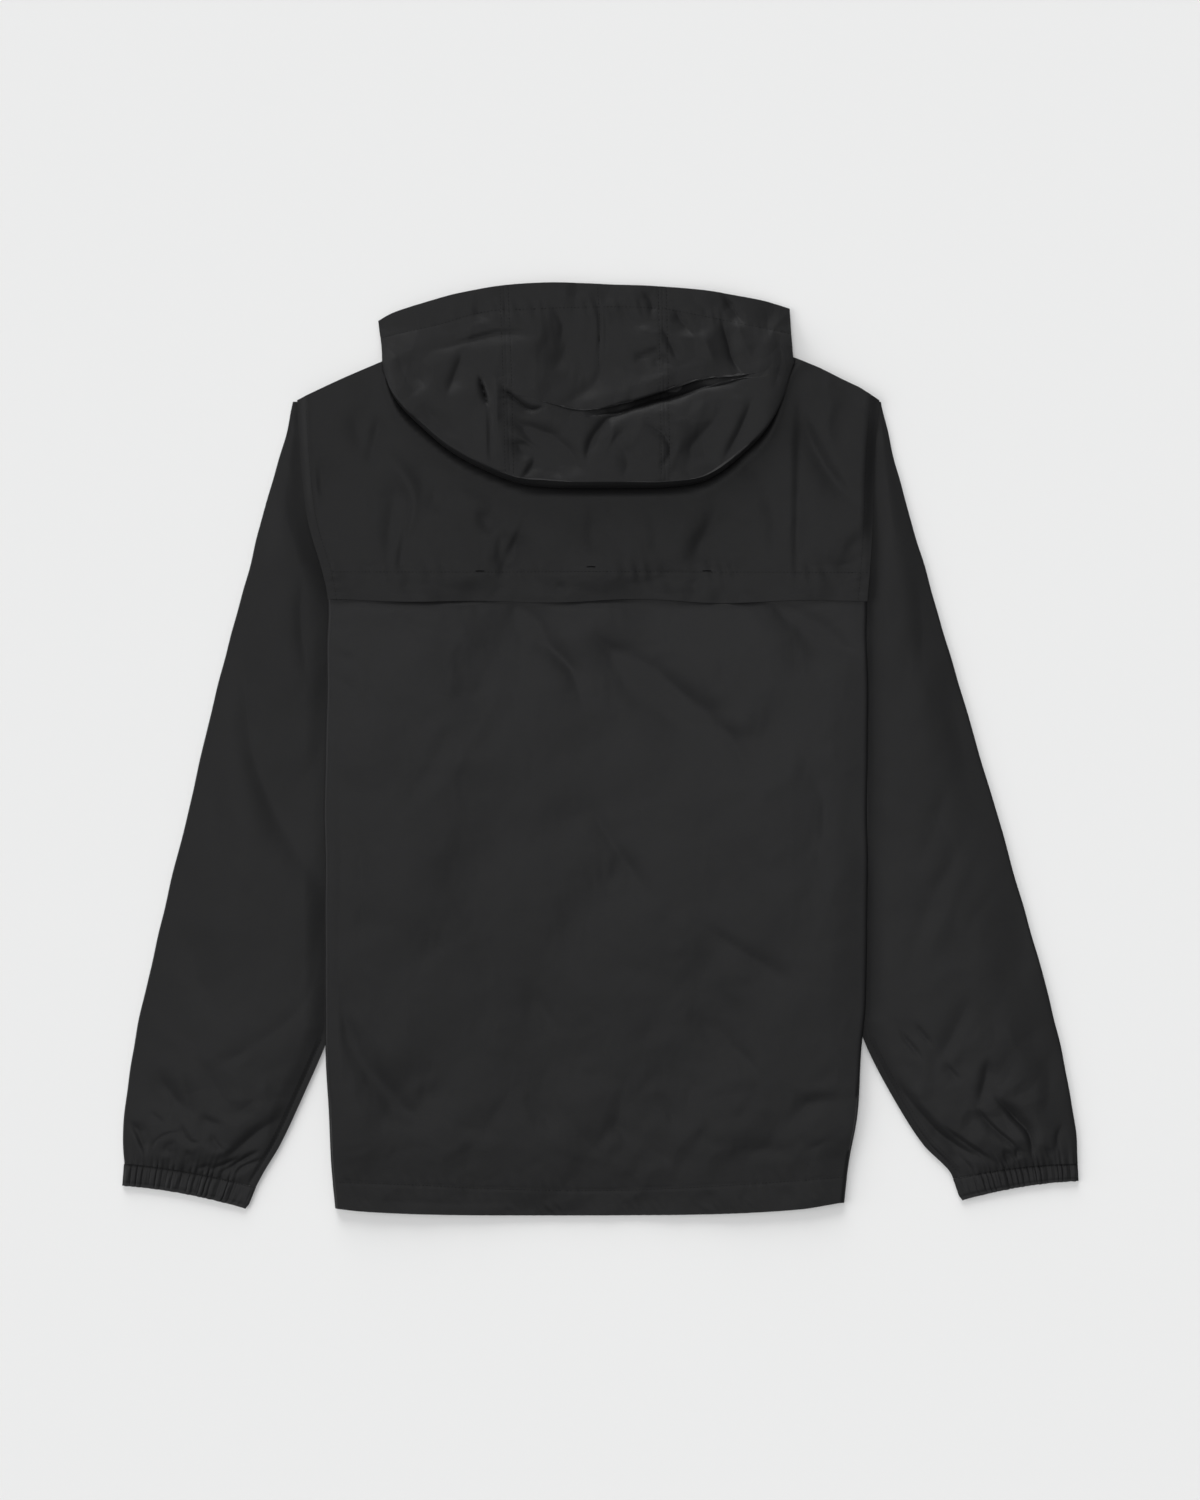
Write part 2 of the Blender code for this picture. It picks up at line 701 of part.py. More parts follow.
def hood_at(u, column):
    """Read a column of the hood's table at a place between its rows."""
    index = min(int(u), HOOD_LAST - 1)
    t = u - index
    rows = [HOOD[min(max(index + k, 0), HOOD_LAST)] for k in (-1, 0, 1, 2)]
    a, b, c, d = [getattr(row, column) for row in rows]
    return b + 0.5 * t * (c - a + t * (2 * a - 5 * b + 4 * c - d + t * (3 * (b - c) + d - a)))


def hood_path(u):
    """The hood on one column: mouth, run with its deep fold, roll, and end beneath."""
    mouth = (hood_at(u, "mouth_x"), hood_at(u, "mouth_y"))
    roll = (hood_at(u, "roll_x"), hood_at(u, "roll_y"))
    length = hypot(roll[0] - mouth[0], roll[1] - mouth[1])
    along = ((roll[0] - mouth[0]) / length, (roll[1] - mouth[1]) / length)
    crown = hood_at(u, "crown") - HALF
    seat = HOOD_SEAT + HALF
    rise = (crown - seat) / 2.0
    reach = min(rise, 0.3 * length)
    top_end = length - HALF - reach
    upper = (mouth[1] - hood_at(u, "upper")) / (mouth[1] - roll[1]) * length
    lower = (mouth[1] - hood_at(u, "lower")) / (mouth[1] - roll[1]) * length
    fold = max(hood_at(u, "fold"), 0.0)
    lip = min(FOLD_LIP, 0.25 * (lower - upper))
    mouth_z = MOUTH_HEIGHT * (0.5 + 0.5 * smooth(min(u, HOOD_LAST - u) / 3.0)) + HALF
    casing = min(CASING, 0.4 * upper)
    path = []
    for s, sunk, shift in (
        (0.0, 0.0, 0.0),
        (casing, 0.0, 0.0),
        (casing + (upper - casing) * 0.35, 0.0, 0.0),
        (casing + (upper - casing) * 0.7, 0.0, 0.0),
        (upper, 0.0, 0.0),
        (upper + lip, 1.0, -0.12),
        (lower - lip, 1.0, 0.0),
        (lower, 0.25, 0.0),
        (lower + (top_end - lower) * 0.3, 0.0, 0.0),
        (lower + (top_end - lower) * 0.65, 0.0, 0.0),
        (top_end, 0.0, 0.0),
    ):
        z = mouth_z + (crown - mouth_z) * smooth(s / top_end) ** 0.75
        path.append((s + shift * fold, max(z - sunk * fold, min(z, FOLD_FLOOR))))
    for step in range(1, ROLL_CELLS + 1):
        angle = pi * (0.5 - step / ROLL_CELLS)
        path.append((top_end + reach * cos(angle), seat + rise + rise * sin(angle)))
    path.append((top_end - min(HOOD_RUN_UNDER, 0.2 * top_end), seat))
    return mouth, along, path


def hood_face(u, distance):
    """Points of one face of the hood on one column."""
    mouth, along, path = hood_path(u)
    return [
        (mouth[0] + along[0] * s, mouth[1] + along[1] * s, z)
        for s, z in moved(path, distance)
    ]


def make_panels(cloth):
    """The three panels of the hood."""
    seam = GAP / 66.0
    for name, first, last in (
        ("hood_left", 0.0, HOOD_LEFT_SEAM - seam),
        ("hood_centre", HOOD_LEFT_SEAM + seam, HOOD_RIGHT_SEAM - seam),
        ("hood_right", HOOD_RIGHT_SEAM + seam, HOOD_LAST),
    ):
        columns = [first + (last - first) * step / PANEL_CELLS for step in range(PANEL_CELLS + 1)]
        outer = [hood_face(u, HALF) for u in columns]
        inner = [hood_face(u, -HALF) for u in columns]
        wall(name, outer, inner, cloth)


def make_inner_plies(cloth):
    """The plies that the panels hide, one on the other, as one body with stepped edges."""
    floor_z = HOOD_SEAT + PLY + GAP
    rings = []
    for step in range(INNER_CELLS + 1):
        u = INNER_FIRST + (INNER_LAST - INNER_FIRST) * step / INNER_CELLS
        mouth, along, path = hood_path(u)
        beside = [hood_path(u + shift)[2] for shift in (-INNER_REACH, 0.0, INNER_REACH)]
        top = []
        for index, shift in INNER_POINTS:
            lowest = min(other[index][1] for other in beside)
            top.append((path[index][0] + shift, lowest - INNER_DROP))
        start_s, end_s = top[0][0], top[-1][0]
        step_z = (top[0][1] - floor_z) / 3.0
        ring = top + [
            (end_s, floor_z),
            ((end_s + start_s) / 2.0, floor_z),
            (start_s, floor_z),
            (start_s + INNER_STEP, floor_z + step_z),
            (start_s, floor_z + 2.0 * step_z),
        ]
        rings.append([(mouth[0] + along[0] * s, mouth[1] + along[1] * s, z) for s, z in ring])
    tube("hood_inner_plies", rings, cloth)


def make_cheeks(cloth):
    """The front of the hood, a left and a right half flat on the floor."""
    for side, inward in SIDES.items():
        neck = sorted(
            place(side, s, SHOULDER_Y, 0.0, front_top)[:2] for s in stations(side, SHOULDER_Y)
        )
        near_zip = ZIP_X - inward * ZIP_EDGE
        middle_y = [y for x, y in neck if abs(x - ZIP_X) < 1.0][0]
        line = [Line(x, y) for x, y in neck if abs(x - ZIP_X) > ZIP_EDGE]
        line.append(Line(near_zip, middle_y))
        end = CHEEK_END[side]
        kept = {x for x, y in line if (x - end) * inward > 4.0} | {end, near_zip}
        rows = [[], [], []]
        for x in sorted(kept):
            low = straight(line, x, "y") + GAP
            high = mouth_line(x) - CHEEK_SHORT
            for row, y in zip(rows, (low, (low + high) / 2.0, high)):
                row.append((x, y))
        outer = [[(x, y, CLOTH) for x, y in row] for row in rows]
        inner = [[(x, y, 0.0) for x, y in row] for row in rows]
        wall(f"hood_cheek_{side}", outer, inner, cloth)


def mouth_line(x):
    """The y of the hood's mouth at x."""
    return straight([Line(row.mouth_x, row.mouth_y) for row in HOOD], x, "y")


def strip(name, x0, x1, rows, finish):
    """A strip across one width from its rows of y, lowest and highest height."""
    outer = [[(x0, y, high), (x1, y, high)] for y, low, high in rows]
    inner = [[(x0, y, low), (x1, y, low)] for y, low, high in rows]
    wall(name, outer, inner, finish)


def zip_rows(thick):
    """Rows of the tapes and the chain, which rise over the pull near the neck."""
    rows = []
    for y in ZIP_ROWS:
        low = PULL_RISE * smooth((y - ZIP_RISE_Y) / 14.0)
        rows.append((y, low, low + thick))
    return rows


def make_zip(tape, teeth, metal):
    """A closed zip between the fronts: tapes, chain, slider and a soft pull beneath it."""
    near, far = CHAIN_HALF + GAP, ZIP_EDGE - GAP
    strip("zip_tape_left", ZIP_X - far, ZIP_X - near, zip_rows(TAPE_THICK), tape)
    strip("zip_tape_right", ZIP_X + near, ZIP_X + far, zip_rows(TAPE_THICK), tape)
    strip("zip_chain", ZIP_X - CHAIN_HALF, ZIP_X + CHAIN_HALF, zip_rows(CHAIN_THICK), teeth)
    wide, long, thick = SLIDER
    start = ZIP_TOP_Y + GAP
    strip("zip_slider", ZIP_X - wide / 2.0, ZIP_X + wide / 2.0, [
        (start, PULL_RISE, PULL_RISE + SLIDER_EDGE),
        (start + SLIDER_BEVEL, PULL_RISE, PULL_RISE + thick),
        (start + long - SLIDER_BEVEL, PULL_RISE, PULL_RISE + thick),
        (start + long, PULL_RISE, PULL_RISE + SLIDER_EDGE),
    ], metal)
    wide, long, thick = PULL
    end = start + PULL_HOLD
    rows = [(end - long, 0.0, thick), (end - long / 2.0, 0.0, thick), (end, 0.0, thick)]
    strip("zip_pull", ZIP_X - wide / 2.0, ZIP_X + wide / 2.0, rows, tape)


def build():
    """Clear the scene and make the jacket."""
    for old in list(bpy.data.objects):
        bpy.data.objects.remove(old, do_unlink=True)
    cloth = material("nylon_cloth", (0.022, 0.022, 0.024), 0.55)
    tape = material("zip_tape", (0.018, 0.018, 0.019), 0.8)
    teeth = material("zip_teeth", (0.015, 0.015, 0.016), 0.4)
    metal = material("slider_metal", (0.03, 0.03, 0.032), 0.35, 0.6)
    make_body(cloth)
    make_sleeves(cloth)
    make_cuffs(cloth)
    make_panels(cloth)
    make_inner_plies(cloth)
    make_cheeks(cloth)
    make_zip(tape, teeth, metal)


build()
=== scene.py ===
"""A black hooded windbreaker of thin nylon, laid flat with its back upwards.

Sections follow the jacket as it lies, from the floor up. Sizes are in millimetres from
the middle of the chest and become metres, from the middle of the whole, in each mesh.
"""

from collections import namedtuple
from math import pi

import bmesh
import bpy
import numpy as np
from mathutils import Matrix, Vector
from mathutils.bvhtree import BVHTree


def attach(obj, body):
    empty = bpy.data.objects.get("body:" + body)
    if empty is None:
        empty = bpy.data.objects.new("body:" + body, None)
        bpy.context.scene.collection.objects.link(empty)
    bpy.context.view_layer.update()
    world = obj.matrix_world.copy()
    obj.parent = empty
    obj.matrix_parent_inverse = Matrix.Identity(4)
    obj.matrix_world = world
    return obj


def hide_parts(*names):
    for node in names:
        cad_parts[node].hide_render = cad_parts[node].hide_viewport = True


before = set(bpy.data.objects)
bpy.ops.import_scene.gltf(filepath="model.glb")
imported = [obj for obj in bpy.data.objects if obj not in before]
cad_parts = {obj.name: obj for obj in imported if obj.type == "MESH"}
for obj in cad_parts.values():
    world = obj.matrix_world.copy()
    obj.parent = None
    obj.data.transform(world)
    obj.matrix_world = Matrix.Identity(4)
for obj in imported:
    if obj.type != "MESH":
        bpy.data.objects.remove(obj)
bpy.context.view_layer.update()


# ---------------------------------------------------------------------------------------
# The table it lies on: a plain pale sheet of card, lit softly from beyond the hood, with
# a long lens straight above the jacket.
# ---------------------------------------------------------------------------------------
FRAME_LONG = 1.25
LENS_HEIGHT = 3.2
FRAME_MIDDLE = (-0.0003, -0.0006)

lens = bpy.data.cameras.new("lens")
lens.lens = lens.sensor_width * (LENS_HEIGHT - 0.006) / FRAME_LONG
camera = bpy.data.objects.new("camera", lens)
camera.location = (*FRAME_MIDDLE, LENS_HEIGHT)
bpy.context.scene.collection.objects.link(camera)
bpy.context.scene.camera = camera


def lamp(name, kind, energy, place, toward, **settings):
    """A light at a place, turned towards a point."""
    light = bpy.data.lights.new(name, kind)
    light.energy = energy
    for setting, value in settings.items():
        setattr(light, setting, value)
    made = bpy.data.objects.new(name, light)
    made.location = place
    turn = Vector(toward) - Vector(place)
    made.rotation_euler = turn.to_track_quat("-Z", "Y").to_euler()
    bpy.context.scene.collection.objects.link(made)


lamp("window", "SUN", 2.9, (-0.35, 1.8, 0.55), (0.0, 0.0, 0.0), angle=0.7)
lamp("side_window", "SUN", 1.5, (-1.9, 0.0, 0.8), (0.0, 0.0, 0.0), angle=0.8)
lamp("ceiling", "SUN", 1.0, (-0.1, 0.1, 3.0), (0.0, 0.0, 0.0), angle=0.5)
bpy.context.scene.view_settings.view_transform = "Standard"

room = bpy.data.worlds.new("room")
room.use_nodes = True
room.node_tree.nodes["Background"].inputs["Color"].default_value = (0.92, 0.93, 0.95, 1.0)
room.node_tree.nodes["Background"].inputs["Strength"].default_value = 0.3
bpy.context.scene.world = room

card = bpy.data.materials.new("pale_card")
card.use_nodes = True
card.node_tree.nodes["Principled BSDF"].inputs["Base Color"].default_value = (0.8, 0.8, 0.795, 1.0)
card.node_tree.nodes["Principled BSDF"].inputs["Roughness"].default_value = 0.9
card.node_tree.nodes["Principled BSDF"].inputs["Specular IOR Level"].default_value = 0.1
floor_mesh = bpy.data.meshes.new("table")
floor_mesh.from_pydata([(-9, -9, 0), (9, -9, 0), (9, 9, 0), (-9, 9, 0)], [], [(0, 1, 2, 3)])
floor_mesh.materials.append(card)
table = bpy.data.objects.new("table", floor_mesh)
table.location.z = -0.0002
bpy.context.scene.collection.objects.link(table)


# ---------------------------------------------------------------------------------------
# Nylon cloth: a thin plain weave with a low sheen, cut and sewn into every panel. Each
# panel is one ply with two faces, laid out as rows down the jacket and columns across it.
# ---------------------------------------------------------------------------------------
MM = 0.001
MIDDLE = np.array((0.3, 0.605, 0.0))
CLOTH = 1.1
GAP = 0.3
PLY = CLOTH + GAP
HALF = CLOTH / 2.0
THIN = 0.42


class Value:
    """A socket's value, which takes the signs of arithmetic."""

    def __init__(self, finish, socket):
        self.finish = finish
        self.socket = socket

    def math(self, operation, *others):
        return self.finish.node("Math", {"operation": operation}, (self, *others))

    def __add__(self, other):
        return self.math("ADD", other)

    def __sub__(self, other):
        return self.math("SUBTRACT", other)

    def __rsub__(self, other):
        return self.finish.node("Math", {"operation": "SUBTRACT"}, (other, self))

    def __mul__(self, other):
        return self.math("MULTIPLY", other)

    def __truediv__(self, other):
        return self.math("DIVIDE", other)

    def __pow__(self, other):
        return self.math("POWER", other)

    __radd__ = __add__
    __rmul__ = __mul__


class Finish:
    """A material's nodes, made one by one."""

    def __init__(self, name, **fixed):
        self.material = bpy.data.materials.new(name)
        self.material.use_nodes = True
        self.tree = self.material.node_tree
        self.shader = self.tree.nodes["Principled BSDF"]
        self.give(self.shader, fixed)

    def give(self, made, inputs):
        named = inputs.items() if isinstance(inputs, dict) else enumerate(inputs)
        for place, value in named:
            socket = made.inputs[place.replace("_", " ") if isinstance(place, str) else place]
            if isinstance(value, Value):
                self.tree.links.new(value.socket, socket)
            elif value is not None:
                socket.default_value = value

    def node(self, kind, settings=None, inputs=(), output=0):
        made = self.tree.nodes.new("ShaderNode" + kind)
        for setting, value in (settings or {}).items():
            if setting == "stops":
                for stop, (where, shade) in zip(made.color_ramp.elements, value):
                    stop.position = where
                    stop.color = (shade, shade, shade, 1.0)
            else:
                setattr(made, setting, value)
        self.give(made, inputs)
        return Value(self, made.outputs[output])

    def blend(self, share, first, second):
        return self.node("Mix", {"data_type": "RGBA"}, {0: share, 6: first, 7: second}, 2)

    def bump(self, height, distance, strength=1.0, under=None):
        return self.node("Bump", None, (strength, distance, 0.1, height, under))

    def end(self, **varying):
        self.give(self.shader, varying)
        return self.material


def nylon(name, shade=(0.0105, 0.0105, 0.0109), rough=0.45, gloss=0.135, crumple=1.0, painted_falloff=0.0):
    """Plain-weave nylon with faint slubs and crumples. Its last argument paints light falloff: the colour
    lightens towards the hood and darkens towards the hem.
    """
    finish = Finish(name, Specular_IOR_Level=gloss)
    threads = finish.node("UVMap", {"uv_map": "cut"})
    place = finish.node("TexCoord", output=3)
    across = finish.node("TexWave", {"bands_direction": "X"}, {0: threads, 1: 480.0, 2: 0.4}, 1)
    along = finish.node("TexWave", {"bands_direction": "Y"}, {0: threads, 1: 480.0, 2: 0.4}, 1)
    weave = across.math("MAXIMUM", along)
    slubs = finish.node("TexNoise", None, {0: finish.node(
        "Mapping", None, {0: threads, 3: (1.0, 14.0, 1.0)}), 2: 130.0, 3: 3.0}, 0)
    creased = finish.node("TexNoise", {"noise_type": "RIDGED_MULTIFRACTAL"},
                          {0: place, 2: 26.0, 3: 2.0, 8: 0.35}, 0)
    soft = finish.node("TexNoise", None, {0: place, 2: 9.0, 3: 3.0, 8: 0.6}, 0)
    # painted light: the height up the jacket, times the last argument, lightens the colour towards the hood
    # and darkens it towards the hem
    unevenness = soft * 0.55 + slubs * 0.45 + finish.node("SeparateXYZ", None, (place,), 1) * painted_falloff
    dark = (*[part * 0.62 for part in shade], 1.0)
    pale = (*[part * 1.42 for part in shade], 1.0)
    colour = finish.blend(unevenness, dark, pale)
    crumpled = finish.bump(creased, 0.0006 * crumple, 0.35)
    woven = finish.bump(weave * 0.6 + slubs * 0.4, 0.00009, 0.7, crumpled)
    return finish.end(Base_Color=colour, Roughness=rough + (soft - 0.5) * 0.06, Normal=woven)


cloth_finish = nylon("black_nylon")
# The back's copy has painted light falloff: darker towards the hem, lighter towards the yoke.
back_finish = nylon("back_nylon", painted_falloff=0.8)
# The yoke's and the sleeves' copies are darker in colour than the rest of the same cloth: painted shade.
yoke_shaded_finish = nylon("yoke_nylon_painted_shade", (0.008, 0.008, 0.0083))
sleeve_shaded_finish = nylon("sleeve_nylon_painted_shade", (0.0088, 0.0088, 0.0091))


def smooth(value):
    """Rise from 0 to 1 without a corner as value goes from 0 to 1."""
    value = np.clip(value, 0.0, 1.0)
    return value * value * (3.0 - 2.0 * value)


def read(rows, at, column=1):
    """Read a column of a table at places given in its first column, on a smooth curve."""
    rows = np.array(sorted(tuple(row) for row in rows), float)
    x, y = rows[:, 0], rows[:, column]
    at = np.clip(at, x[0], x[-1])
    k = np.arange(len(x))
    before, after = np.maximum(k - 1, 0), np.minimum(k + 1, len(x) - 1)
    slope = (y[after] - y[before]) / (x[after] - x[before])
    i = np.clip(np.searchsorted(x, at, "right") - 1, 0, len(x) - 2)
    span = x[i + 1] - x[i]
    t = (at - x[i]) / span
    return (
        (2 * t ** 3 - 3 * t ** 2 + 1) * y[i]
        + (t ** 3 - 2 * t ** 2 + t) * slope[i] * span
        + (3 * t ** 2 - 2 * t ** 3) * y[i + 1]
        + (t ** 3 - t ** 2) * slope[i + 1] * span
    )


def straight(rows, at, column=1):
    """Read a column of a table on straight lines."""
    rows = np.array(rows, float)
    return np.interp(at, rows[:, 0], rows[:, column])


def spread(points, cells):
    """A smooth path through points, with a number of cells between each two."""
    points = np.array(points, float)
    knots = np.arange(len(points))
    at = np.linspace(0, len(points) - 1, cells * (len(points) - 1) + 1)
    return np.stack([
        read(np.stack([knots, points[:, k]], 1), at) for k in range(points.shape[1])
    ], 1)


def steps(*stops):
    """Places in a row: each stop and the spacing used from it to the next stop."""
    found = []
    for (start, gap), (end, _) in zip(stops, stops[1:]):
        count = max(1, round(abs(end - start) / gap))
        found += list(np.linspace(start, end, count, endpoint=False))
    return np.array(found + [stops[-1][0]])


Crease = namedtuple("Crease", "line width depth lean")
DEEP_CREASE = 1.0
LEANING_CREASE = 0.1
UPHILL = (0.85, 0.5)


def leaned(creases, lean, share=0.85):
    """Deep creases that lean all get one lean, gentle side to the hem, and less depth."""
    made = []
    for crease in creases:
        if crease.depth < -DEEP_CREASE and abs(crease.lean) >= LEANING_CREASE:
            start, end = crease.line[0], crease.line[-1]
            run = UPHILL[0] * (end[0] - start[0]) + UPHILL[1] * (end[1] - start[1])
            depth = round(crease.depth * share, 2)
            crease = crease._replace(depth=depth, lean=lean if run >= 0.0 else -lean)
        made.append(crease)
    return made


def pressed(creases, x, y, softness=2.0):
    """How far creases move the cloth: down in a trough, up on a ridge, gentler on one side."""
    total = np.zeros_like(x)
    for crease in creases:
        path = spread(crease.line, 5)
        reach = 3.2 * (1.0 + 2.6 * abs(crease.lean)) * crease.width
        near = (x > path[:, 0].min() - reach) & (x < path[:, 0].max() + reach)
        near &= (y > path[:, 1].min() - reach) & (y < path[:, 1].max() + reach)
        point = np.stack([x[near], y[near]], 1)[:, None, :]
        run = path[1:] - path[:-1]
        length = np.hypot(run[:, 0], run[:, 1])
        start = np.concatenate([[0.0], np.cumsum(length)])
        off = point - path[:-1]
        along = np.clip((off * run).sum(2) / length ** 2, 0.0, 1.0)
        away = off - along[..., None] * run
        distance = np.hypot(away[..., 0], away[..., 1])
        pick = distance.argmin(1)
        each = np.arange(len(pick))
        side = np.sign(off[each, pick, 0] * run[pick, 1] - off[each, pick, 1] * run[pick, 0])
        part = (start[pick] + along[each, pick] * length[pick]) / start[-1]
        ends = smooth(np.minimum(part, 1.0 - part) * 2.4 + 0.06)
        gentle = 1.0 + 2.6 * abs(crease.lean) * ends * min(1.0, start[-1] / crease.width / 12.0)
        across = distance[each, pick] * side / crease.width
        across = across * (-1.0 if crease.lean < 0.0 else 1.0) - 0.75 * min(abs(crease.lean), 1.0)
        across = np.abs(np.where(across > 0.0, across / gentle, across))
        total[near] += crease.depth * np.exp(-across ** softness) * ends
    return total


def swell(x, y, size, seed, stretch=(1.0, 1.0)):
    """A gentle random rise and fall with bumps of about one size."""
    draw = np.random.default_rng(seed)
    total = np.zeros_like(x)
    for _ in range(14):
        turn, long = draw.uniform(0.0, 2.0 * pi), size * draw.uniform(0.65, 1.6)
        total += np.sin((x * np.cos(turn) / stretch[0] + y * np.sin(turn) / stretch[1])
                        * 2.0 * pi / long + draw.uniform(0.0, 2.0 * pi))
    return total / 14 ** 0.5


def crumple(x, y, size, seed, stretch=(1.0, 1.0)):
    """Shallow valleys with sharp floors, as thin nylon keeps after it has been folded."""
    warp_x = x + 0.3 * size * swell(x, y, 2.0 * size, seed + 1)
    warp_y = y + 0.3 * size * swell(x, y, 2.0 * size, seed + 2)
    valley = np.abs(swell(warp_x, warp_y, size, seed, stretch))
    return np.sqrt(valley ** 2 + 0.01) - 0.7


def ply(name, middle, finish, half=THIN, ring=False):
    """One ply of cloth from the surface through its middle, in rows and columns."""
    rows, columns = middle.shape[:2]
    if ring:
        over = np.roll(middle, -1, 1) - np.roll(middle, 1, 1)
    else:
        over = np.gradient(middle, axis=1)
    normal = np.cross(over, np.gradient(middle, axis=0))
    normal /= np.maximum(np.linalg.norm(normal, axis=2, keepdims=True), 1e-9)
    half = np.broadcast_to(half, (rows, columns))[..., None]
    points = np.concatenate([
        (middle + normal * half).reshape(-1, 3), (middle - normal * half).reshape(-1, 3),
    ])
    points = (points * MM) - MIDDLE * MM
    wrapped = np.concatenate([middle, middle[:, :1]], 1) if ring else middle
    step_u = np.linalg.norm(np.diff(wrapped, axis=1), axis=2).mean(0)
    step_v = np.linalg.norm(np.diff(middle, axis=0), axis=2).mean(1)
    u = np.concatenate([[0.0], np.cumsum(step_u)]) * MM
    v = np.concatenate([[0.0], np.cumsum(step_v)]) * MM
    quads, cut = [], []

    def add(*corners):
        quads.append(np.stack([
            (side * rows * columns + r * columns + c % columns).ravel() for r, c, side in corners
        ], 1))
        cut.append(np.stack([np.stack([u[c].ravel(), v[r].ravel()], 1) for r, c, _ in corners], 1))

    last = columns if ring else columns - 1
    r, c = np.mgrid[0:rows - 1, 0:last]
    add((r, c, 0), (r, c + 1, 0), (r + 1, c + 1, 0), (r + 1, c, 0))
    add((r + 1, c, 1), (r + 1, c + 1, 1), (r, c + 1, 1), (r, c, 1))
    c = np.arange(last)
    for r in (np.zeros(last, int), np.full(last, rows - 1)):
        turn = 1 if r[0] == 0 else 0
        add((r, c, turn), (r, c + 1, turn), (r, c + 1, 1 - turn), (r, c, 1 - turn))
    if not ring:
        r = np.arange(rows - 1)
        for c in (np.zeros(rows - 1, int), np.full(rows - 1, columns - 1)):
            turn = 0 if c[0] == 0 else 1
            add((r, c, turn), (r + 1, c, turn), (r + 1, c, 1 - turn), (r, c, 1 - turn))
    quads, cut = np.concatenate(quads), np.concatenate(cut)
    a, b, d, e = (points[quads[:, k]] for k in range(4))
    volume = (np.cross(a, b) * d).sum() + (np.cross(a, d) * e).sum()
    if volume < 0.0:
        quads, cut = quads[:, ::-1], cut[:, ::-1]
    mesh = bpy.data.meshes.new(name)
    mesh.from_pydata(points.tolist(), [], quads.tolist())
    mesh.uv_layers.new(name="cut").data.foreach_set("uv", cut.reshape(-1).astype(np.float32))
    mesh.shade_smooth()
    mesh.set_sharp_from_angle(angle=0.9)
    mesh.materials.append(finish)
    made = bpy.data.objects.new(name, mesh)
    bpy.context.scene.collection.objects.link(made)
    return made


def arc(centre, radius, start, end, cells):
    """Points on an arc in half turns, without its ends, as arrays across and up."""
    turn = pi * np.linspace(start, end, cells + 1)[1:-1]
    return centre + radius * np.cos(turn), radius + radius * np.sin(turn)


# ---------------------------------------------------------------------------------------
# The fronts: two panels of nylon that meet at the zip, face down on the table. Each is
# turned under at its side, where the jacket is wider than it lies.
# ---------------------------------------------------------------------------------------
ZIP_X = -3.0
SHOULDER_Y = 292.0
YOKE_SEAM_Y = 153.0
FLAP_Y = 124.0
HEM_Y = -388.0
HEM_CURVE_Y = -260.0
NECK_CURVE_Y = 185.0
TUCK = 62.0
SLEEVE_LIFT = 2.0 * PLY
BODY_LOFT = 1.5
SMALL_FOLD = PLY / 2.0
SIDE_FOLD = 3.0 * PLY / 2.0
YOKE_OVERHANG = 1.6
ZIP_EDGE = 12.0
PULL_RISE = 1.2
SIDES = {"left": (1, 1.0), "right": (2, -1.0)}

# The visible edge of the body: armhole seam above the flap, side fold below it.
Edge = namedtuple("Edge", "y left right")
BODY_EDGE = (
    Edge(300.0, -252.9, 233.6),
    Edge(260.0, -250.8, 230.3),
    Edge(226.0, -248.3, 228.3),
    Edge(190.0, -243.3, 227.2),
    Edge(147.0, -230.8, 224.5),
    Edge(123.0, -226.7, 222.5),
    Edge(80.0, -227.5, 223.0),
    Edge(0.0, -228.8, 223.3),
    Edge(-83.0, -229.2, 223.3),
    Edge(-208.0, -229.2, 221.7),
    Edge(-246.0, -229.0, 218.3),
    Edge(-308.0, -226.7, 214.2),
    Edge(-350.0, -224.2, 208.3),
    Edge(-392.0, -221.0, 203.0),
)

# The inner fold of each sleeve, most of it beneath the body.
SLEEVE_INNER = (
    Edge(290.0, -250.0, 230.8),
    Edge(226.0, -245.6, 225.6),
    Edge(190.0, -240.6, 224.5),
    Edge(147.0, -228.1, 221.8),
    Edge(120.0, -206.0, 198.0),
    Edge(90.0, -184.0, 177.0),
    Edge(50.0, -168.0, 161.0),
    Edge(0.0, -171.0, 165.0),
    Edge(-83.0, -184.0, 180.0),
    Edge(-150.0, -200.0, 196.0),
    Edge(-208.0, -216.0, 209.5),
    Edge(-246.0, -229.2, 221.9),
    Edge(-288.0, -247.5, 243.5),
    Edge(-329.0, -266.7, 269.5),
    Edge(-352.0, -280.5, 292.0),
    Edge(-367.0, -288.5, 297.0),
)

# How far the hem dips and the shoulder and neck lines rise, by x.
Line = namedtuple("Line", "x y")
HEM_LINE = (
    Line(-222.0, 6.0),
    Line(-200.0, 3.5),
    Line(-150.0, 1.0),
    Line(-90.0, 0.0),
    Line(30.0, 0.0),
    Line(100.0, 1.2),
    Line(165.0, 5.0),
    Line(200.0, 10.5),
)
BACK_TOP = (
    Line(-253.0, 291.5),
    Line(-233.0, 301.0),
    Line(-217.0, 308.5),
    Line(-200.0, 316.0),
    Line(-181.0, 324.0),
    Line(-150.0, 336.0),
    Line(-97.0, 352.0),
    Line(-50.0, 344.0),
    Line(0.0, 340.0),
    Line(50.0, 344.0),
    Line(90.0, 352.0),
    Line(130.0, 341.0),
    Line(162.0, 327.0),
    Line(183.0, 318.5),
    Line(200.0, 310.0),
    Line(217.0, 302.0),
    Line(234.0, 291.0),
)
FRONT_NECK = (
    Line(-110.0, 350.0),
    Line(-80.0, 315.0),
    Line(-50.0, 290.0),
    Line(-15.0, 278.0),
    Line(9.0, 278.0),
    Line(45.0, 290.0),
    Line(75.0, 315.0),
    Line(105.0, 350.0),
)

